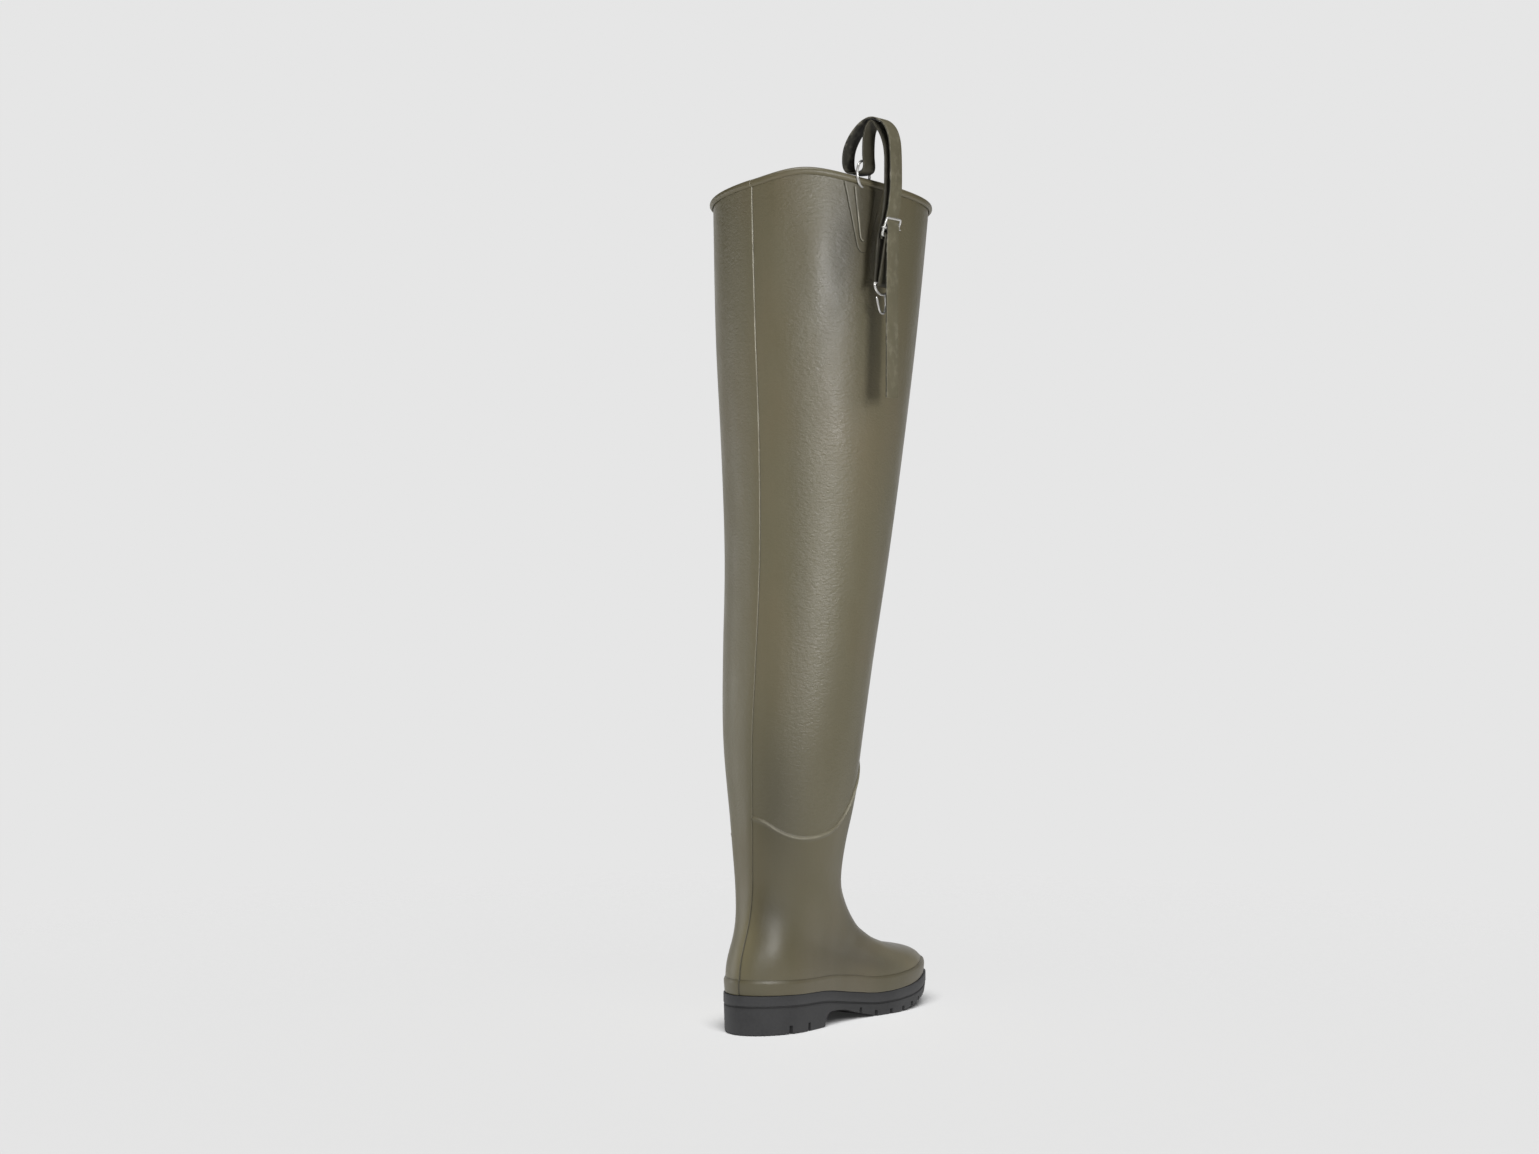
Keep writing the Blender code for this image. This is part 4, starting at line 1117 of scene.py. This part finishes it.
def smooth_line(points, step):
    """Smooth line through points, with new points about a step apart."""
    columns, reached, finer = even_steps(points, step)
    return np.stack([curve_through(reached, column, finer) for column in columns], axis=-1)


def eased_line(points, step, reach):
    """The line through points at even steps, with its corners eased."""
    columns, reached, finer = even_steps(points, step)
    even = [np.interp(finer, reached, column) for column in columns]
    return np.stack([eased(finer, column, reach) for column in even], axis=-1)


def strap_path():
    """Middle line of the whole strap, from the end sewn at the buckle to the tip of the tail."""
    foot_out, foot_up = BUCKLE_FOOT
    top_out, top_up = BUCKLE_TOP
    middle_out = top_out + BUCKLE_BAR_SHARE * (foot_out - top_out)
    middle_up = top_up + BUCKLE_BAR_SHARE * (foot_up - top_up)
    over_bar = BUCKLE_BAR_WIRE + STRAP_THICKNESS / 2 + 2 * GAP
    under_bar = BUCKLE_WIRE + STRAP_THICKNESS / 2 + 2 * GAP
    sewn_end = [strap_point(foot_out - FOLD_RADIUS, foot_up - 0.0035)]
    sewn_end += fold(BUCKLE_FOOT, 180, -10)
    hook_fold = fold(HOOK_BAR, 10, -192)
    loop = smooth_line([strap_point(out, up) for out, up in STRAP_LOOP], STRAP_STEP)
    tail = (
        (top_out - under_bar, top_up + 0.0015),
        (top_out - under_bar + 0.0002, top_up - 0.0020),
        (middle_out + over_bar, middle_up + 0.0010),
        (middle_out + over_bar, middle_up - 0.0020),
        (TAIL_OUT + 0.0008, foot_up - 0.0040),
        (TAIL_OUT + 0.0003, foot_up - 0.0300),
        (TAIL_OUT, foot_up - 0.0700),
        (TAIL_OUT, TAIL_END_UP),
    )
    tail = smooth_line([strap_point(out, up) for out, up in tail], STRAP_STEP)
    return eased_line(np.concatenate([sewn_end, hook_fold, loop, tail]), STRAP_STEP, STRAP_EASE)


def build_strap():
    """The strap as one ribbon: olive on its face, dark on its back, painted shade on its inner lanes, pale
    edges partly worn, partly painted highlight.
    """
    path = strap_path()
    profile = rounded_box(STRAP_WIDTH / 2, STRAP_THICKNESS / 2, STRAP_ROUND, 5)
    face_out = np.cross(unit(np.gradient(path, axis=0)), TOEWARD)
    rows = path[:, None] + TOEWARD * profile[None, :, :1] + face_out[:, None] * profile[None, :, 1:]
    looks = (STRAP_FACE, STRAP_BACK)
    strap = add_piece("strap", closed_rows(rows, "flat"), looks, EDGE_SHARP_FROM)
    through = (profile[:, 1] + np.roll(profile[:, 1], -1)) / 2
    on_back = np.tile(through < STRAP_THICKNESS * 0.2, len(rows) - 1)
    strap.data.polygons.foreach_set("material_index", np.append(on_back, [False, False]).astype(np.int32))
    # Painted shade on the lanes up to the innermost point, and pale edges, partly worn and partly painted
    # highlight
    inmost = np.argmax(path[:, 1])
    inner_lanes = 1 - smoothstep(inmost - 20, inmost, np.arange(len(path)))
    edge = bell(STRAP_WIDTH / 2 - np.abs(profile[:, 0]), 0.0009)
    paint(strap, dim=np.repeat(0.8 * inner_lanes, len(profile)), wear=np.tile(0.3 * edge, len(path)))


def build_buckle():
    """Wire frame with rounded corners, and the bar under the strap, its ends curled round the frame."""
    top = strap_point(*BUCKLE_TOP)
    foot = strap_point(*BUCKLE_FOOT)
    up = unit(top - foot)
    outward = np.cross(TOEWARD, up)
    half_width = BUCKLE_WIDTH / 2 - BUCKLE_WIRE
    corners = rounded_box(half_width, np.linalg.norm(top - foot) / 2, BUCKLE_CORNER, 9)
    wire_line = [(top + foot) / 2 + TOEWARD * across + up * rise for across, rise in corners]
    bar = top + BUCKLE_BAR_SHARE * (foot - top)
    bar_line = np.linspace(bar - TOEWARD * half_width, bar + TOEWARD * half_width, 8)
    wires = [tube(wire_line, BUCKLE_WIRE, closed=True), tube(bar_line, BUCKLE_BAR_WIRE)]
    curl_wire = BUCKLE_BAR_WIRE * CURL_WIRE_SHARE
    for side in (-1, 1):
        curl = []
        for t in np.linspace(0, CURL_TURNS, 26):
            spoke = side * TOEWARD * cos(2 * pi * t) + outward * sin(2 * pi * t)
            post = bar + TOEWARD * side * half_width + up * CURL_RISE * t
            curl.append(post - (BUCKLE_WIRE + curl_wire) * spoke)
        wires.append(tube(curl, curl_wire, sides=10))
    add_piece("buckle", joined(*wires), (WIRE,))


def build_snap_hook():
    """Wire eye with a straight bar for the strap, and the bent hook below it."""
    bar = strap_point(*HOOK_BAR)
    half_width = HOOK_EYE_WIDTH / 2 - HOOK_WIRE
    eye = [bar + TOEWARD * x for x in np.linspace(-half_width, half_width, 14)]
    for a in np.radians(np.linspace(0, 180, 49)[1:-1]):
        eye.append(bar + TOEWARD * half_width * cos(a) - UP * HOOK_EYE_DROP * sin(a))
    wire_line = smooth_line([bar + TOEWARD * along - UP * drop for along, drop in HOOK_BEND], 0.0006)
    shape = joined(tube(eye, HOOK_WIRE, closed=True), tube(wire_line, HOOK_WIRE * 0.95))
    add_piece("snap_hook", shape, (WIRE,), body="hook")


def arch_profile():
    """The hollow between the heel block and the forefoot tread, seen from the side."""
    breast = HEEL_BACK + HEEL_BLOCK_LENGTH
    arch_end, tread_start, tread_down = (
        HEEL_BACK + SOLE_LENGTH * along for along in (ARCH_END_ALONG, TREAD_START_ALONG, TREAD_DOWN_ALONG)
    )
    roof_x = (breast, breast + 0.0015, breast + 0.0050, breast + 0.0110, arch_end, tread_start, tread_down)
    by_breast = [ARCH_HEIGHT * share for share in (0.07, 0.50, 0.82, 1.00)]
    roof_z = (*by_breast, ARCH_END_HEIGHT, TREAD_START_RISE, 0.0)
    x = np.linspace(breast, tread_down, 60)
    return [(breast, CUTTER_FOOT), *zip(x, curve_through(roof_x, roof_z, x)), (tread_down, CUTTER_FOOT)]


def groove_profile(x, width, roof):
    """A groove across the tread, seen from the side."""
    half = width / 2
    return [(x - half, CUTTER_FOOT), (x + half, CUTTER_FOOT), (x + half * 0.7, roof), (x - half * 0.7, roof)]


def toe_rise(along):
    """How far the tread has left the floor towards the toe."""
    return TOE_SPRING * np.clip((along - SPRING_START_ALONG) / (1 - SPRING_START_ALONG), 0, 1) ** SPRING_POWER


def tread_rise(along):
    """Height of the forefoot's tread, which leaves the floor towards the arch and towards the toe."""
    to_arch = np.clip((TREAD_DOWN_ALONG - along) / (TREAD_DOWN_ALONG - TREAD_START_ALONG), 0, 1)
    return TREAD_START_RISE * to_arch + toe_rise(along)


def sole_side(turns):
    """Height and inset of each row up the sole's side, from the bevelled tread to the rounded top edge."""
    along = along_of(turns)
    spring = toe_rise(along)
    top = sole_top(along)
    from_back = np.minimum(turns, 1 - turns)
    at_heel = 1 - smoothstep(0.8, 1.0, from_back / HEEL_NUBS_TURN)
    nubs = HEEL_NUB_DEPTH * at_heel * (0.5 + 0.5 * np.cos(2 * pi * HEEL_NUBS * turns))
    groove_top = top - SIDE_BAND
    groove_foot = groove_top - SIDE_GROOVE
    wall_foot = spring + TREAD_BEVEL
    rows = []
    for a in np.radians(np.linspace(0, 90, 6)):
        height = spring + TREAD_BEVEL * (1 - cos(a)) + nubs * cos(a)
        rows.append((height, SIDE_TAPER + TREAD_BEVEL * (1 - sin(a)) + nubs * cos(a)))
    for share in (0.3, 0.6, 0.9):
        height = wall_foot + share * (groove_foot - wall_foot)
        rows.append((height, SIDE_TAPER + share * (0.0004 - SIDE_TAPER)))
    rows += [
        (groove_foot - 0.0003, 0.0004),
        (groove_foot, 0.0005),
        (groove_foot + 0.0002, SIDE_GROOVE_DEPTH),
        (groove_top - 0.0001, SIDE_GROOVE_DEPTH),
        (groove_top + 0.0001, 0.0002),
        (groove_top + 0.0005, 0.0),
    ]
    for a in np.radians(np.linspace(0, 90, 5)):
        rows.append((top - SOLE_TOP_ROUND * (1 - sin(a)), SOLE_TOP_ROUND * (1 - cos(a))))
    return rows


def tread_cutters():
    """Solids of the arch's hollow and of the grooves between the lugs."""
    profiles = [arch_profile()]
    for x in HEEL_GROOVES_X:
        profiles.append(groove_profile(x, HEEL_GROOVE_WIDTH, HEEL_GROOVE_DEPTH))
    for x in FOREFOOT_GROOVES_X:
        roof = float(tread_rise((x - HEEL_BACK) / SOLE_LENGTH)) + LUG_GROOVE_DEPTH
        profiles.append(groove_profile(x, LUG_GROOVE_WIDTH, roof))
    return [new_object("tread_cutter", prism(profile)) for profile in profiles]


def build_outsole():
    """Lugged sole with a band above a groove on its side, and rounded edges."""
    turns = np.arange(SOLE_COLUMNS) / SOLE_COLUMNS
    grid = [np.stack([*sole_outline(turns, inset), height], axis=-1) for height, inset in sole_side(turns)]
    outsole = add_piece("outsole", closed_rows(grid, "rungs"), (SOLE,))
    apply_cuts(outsole, tread_cutters())
    grounded.objects.link(outsole)
    outsole.data.shade_smooth()
    outsole.data.set_sharp_from_angle(angle=radians(TREAD_SHARP_FROM))
    places = np.array([point.co for point in outsole.data.vertices])
    along = (places[:, 0] - HEEL_BACK) / SOLE_LENGTH
    above_groove = places[:, 2] - (sole_top(along) - SIDE_BAND - SIDE_GROOVE / 2)
    # Painted shade in the side groove and a painted highlight on the band's lower edge, over the painted
    # light along the sole
    groove = -0.60 * bell(above_groove, 0.0010)
    band_edge_highlight = 0.30 * bell(above_groove - 0.0016, 0.0008)
    paint(outsole, tone=curve_through(*zip(*SOLE_PAINTED_LIGHT), along) + groove + band_edge_highlight)


def build_insole():
    """Knit-covered insole with a soft edge, on the floor of the foot."""
    turns = np.arange(INSOLE_COLUMNS) / INSOLE_COLUMNS
    floor = sole_top(along_of(turns)) + GAP
    profile = (
        (0.0, 0.0),
        (INSOLE_THICKNESS - INSOLE_EDGE, 0.0),
        (INSOLE_THICKNESS - INSOLE_EDGE / 3, INSOLE_EDGE / 3),
        (INSOLE_THICKNESS, INSOLE_EDGE),
    )
    rows = []
    for rise, inset in profile:
        row = boot_skin(FOOT_LEVELS[0], turns, -LEG_WALL - INSOLE_SIDE_GAP - inset)
        row[:, 2] = floor + rise
        rows.append(row)
    add_piece("insole", closed_rows(rows, "rungs"), (LINING,), EDGE_SHARP_FROM)


def build_floor():
    """Pale floor that fades out into the backdrop."""
    turns = np.arange(FLOOR_SIDES) / FLOOR_SIDES * 2 * pi
    circle = np.stack([np.cos(turns), np.sin(turns), np.zeros(FLOOR_SIDES)], axis=-1)
    points, faces = closed_rows([circle * r for r in np.linspace(0.02, 1.0, 12) * FLOOR_RADIUS], "open")
    faces.append(tuple(range(FLOOR_SIDES)))
    mesh = bpy.data.meshes.new("floor")
    mesh.from_pydata(points.tolist(), [], faces)
    floor = bpy.data.objects.new("floor", mesh)
    staging.objects.link(floor)
    look = Look("pale_floor", roughness=0.9)
    length = look.nodes.new("ShaderNodeVectorMath")
    length.operation = "LENGTH"
    look.links.new(look.place, length.inputs[0])
    fade = look.spread(length.outputs["Value"], 1.0, 0.0, FLOOR_RADIUS * 0.35, FLOOR_RADIUS * 0.95)
    look.put("Base Color", FLOOR_COLOUR)
    look.put("Emission Color", (1, 1, 1))
    look.put("Emission Strength", FLOOR_GLOW)
    look.put("Specular IOR Level", 0.0)
    look.put("Alpha", fade)
    mesh.materials.append(look.material)


def add_lamp(name, kind, power, place, target, receivers):
    """A lamp at a place, turned to a target, that lights one collection."""
    lamp = bpy.data.objects.new(name, bpy.data.lights.new(name, kind))
    lamp.data.energy = power
    lamp.location = place
    lamp.rotation_euler = (Vector(target) - Vector(place)).to_track_quat("-Z", "Y").to_euler()
    staging.objects.link(lamp)
    lamp.light_linking.receiver_collection = receivers
    return lamp


def build_light():
    """Soft panels round the boot, with the camera's direction as zero, and even light on the floor."""
    front = radians(270 - CAMERA_TURN)
    for name, degrees, distance, height, size, power, shines in LIGHTS:
        bearing = front + radians(degrees)
        place = (distance * cos(bearing), distance * sin(bearing), height)
        lamp = add_lamp(name, "AREA", power, place, LIT_MIDDLE, pieces)
        lamp.data.shape = "RECTANGLE"
        lamp.data.size, lamp.data.size_y = size
        lamp.visible_camera = False
        lamp.visible_glossy = shines
    lean = tan(radians(FLOOR_LIGHT_TILT))
    place = (lean * cos(front), lean * sin(front), 1.0)
    sun = add_lamp("floor_light", "SUN", FLOOR_LIGHT, place, (0, 0, 0), staging)
    sun.data.angle = radians(FLOOR_LIGHT_ANGLE)
    sun.light_linking.blocker_collection = grounded


def build_world():
    """Plain pale backdrop that the camera sees and that lights nothing."""
    world = bpy.data.worlds.new("studio")
    world.use_nodes = True
    nodes = world.node_tree.nodes
    backdrop = nodes["Background"].inputs
    backdrop["Color"].default_value = (BACKDROP, BACKDROP, BACKDROP, 1)
    seen = nodes.new("ShaderNodeLightPath").outputs["Is Camera Ray"]
    world.node_tree.links.new(seen, backdrop["Strength"])
    bpy.context.scene.world = world
    bpy.context.scene.view_settings.view_transform = "Standard"


def build_camera():
    """Camera of the photograph, level and outside the heel."""
    turn = radians(CAMERA_TURN)
    right = Vector((cos(turn), -sin(turn), 0))
    away = Vector((sin(turn), cos(turn), 0))
    camera = bpy.data.cameras.new("camera")
    camera.sensor_width = CAMERA_SENSOR
    camera.lens = CAMERA_LENS
    obj = bpy.data.objects.new("camera", camera)
    staging.objects.link(obj)
    place = right * CAMERA_SIDE - away * CAMERA_DISTANCE + Vector((0, 0, CAMERA_HEIGHT))
    axes = Matrix((right, (0, 0, 1), -away)).transposed()
    obj.matrix_world = Matrix.Translation(place) @ axes.to_4x4()
    bpy.context.scene.camera = obj


def new_collection(name):
    """A collection in the scene."""
    made = bpy.data.collections.new(name)
    bpy.context.scene.collection.children.link(made)
    return made


pieces = new_collection("wader_pieces")
staging = new_collection("staging")
grounded = new_collection("grounded")
OLIVE = olive_rubber()
SOLE = sole_rubber()
LINING = blue_knit()
STRAP_FACE = strap_rubber("strap_face", STRAP_OLIVE_DARK, STRAP_OLIVE_LIGHT, 0.55)
STRAP_BACK = strap_rubber("strap_back", STRAP_BACK_DARK, STRAP_BACK_LIGHT, 0.60)
WIRE = nickel_wire()
build_upper()
build_foxing_band()
build_collar_binding()
build_patch_and_tab()
build_collar_ring()
build_strap()
build_buckle()
build_snap_hook()
build_outsole()
build_insole()
build_floor()
build_light()
build_world()
build_camera()
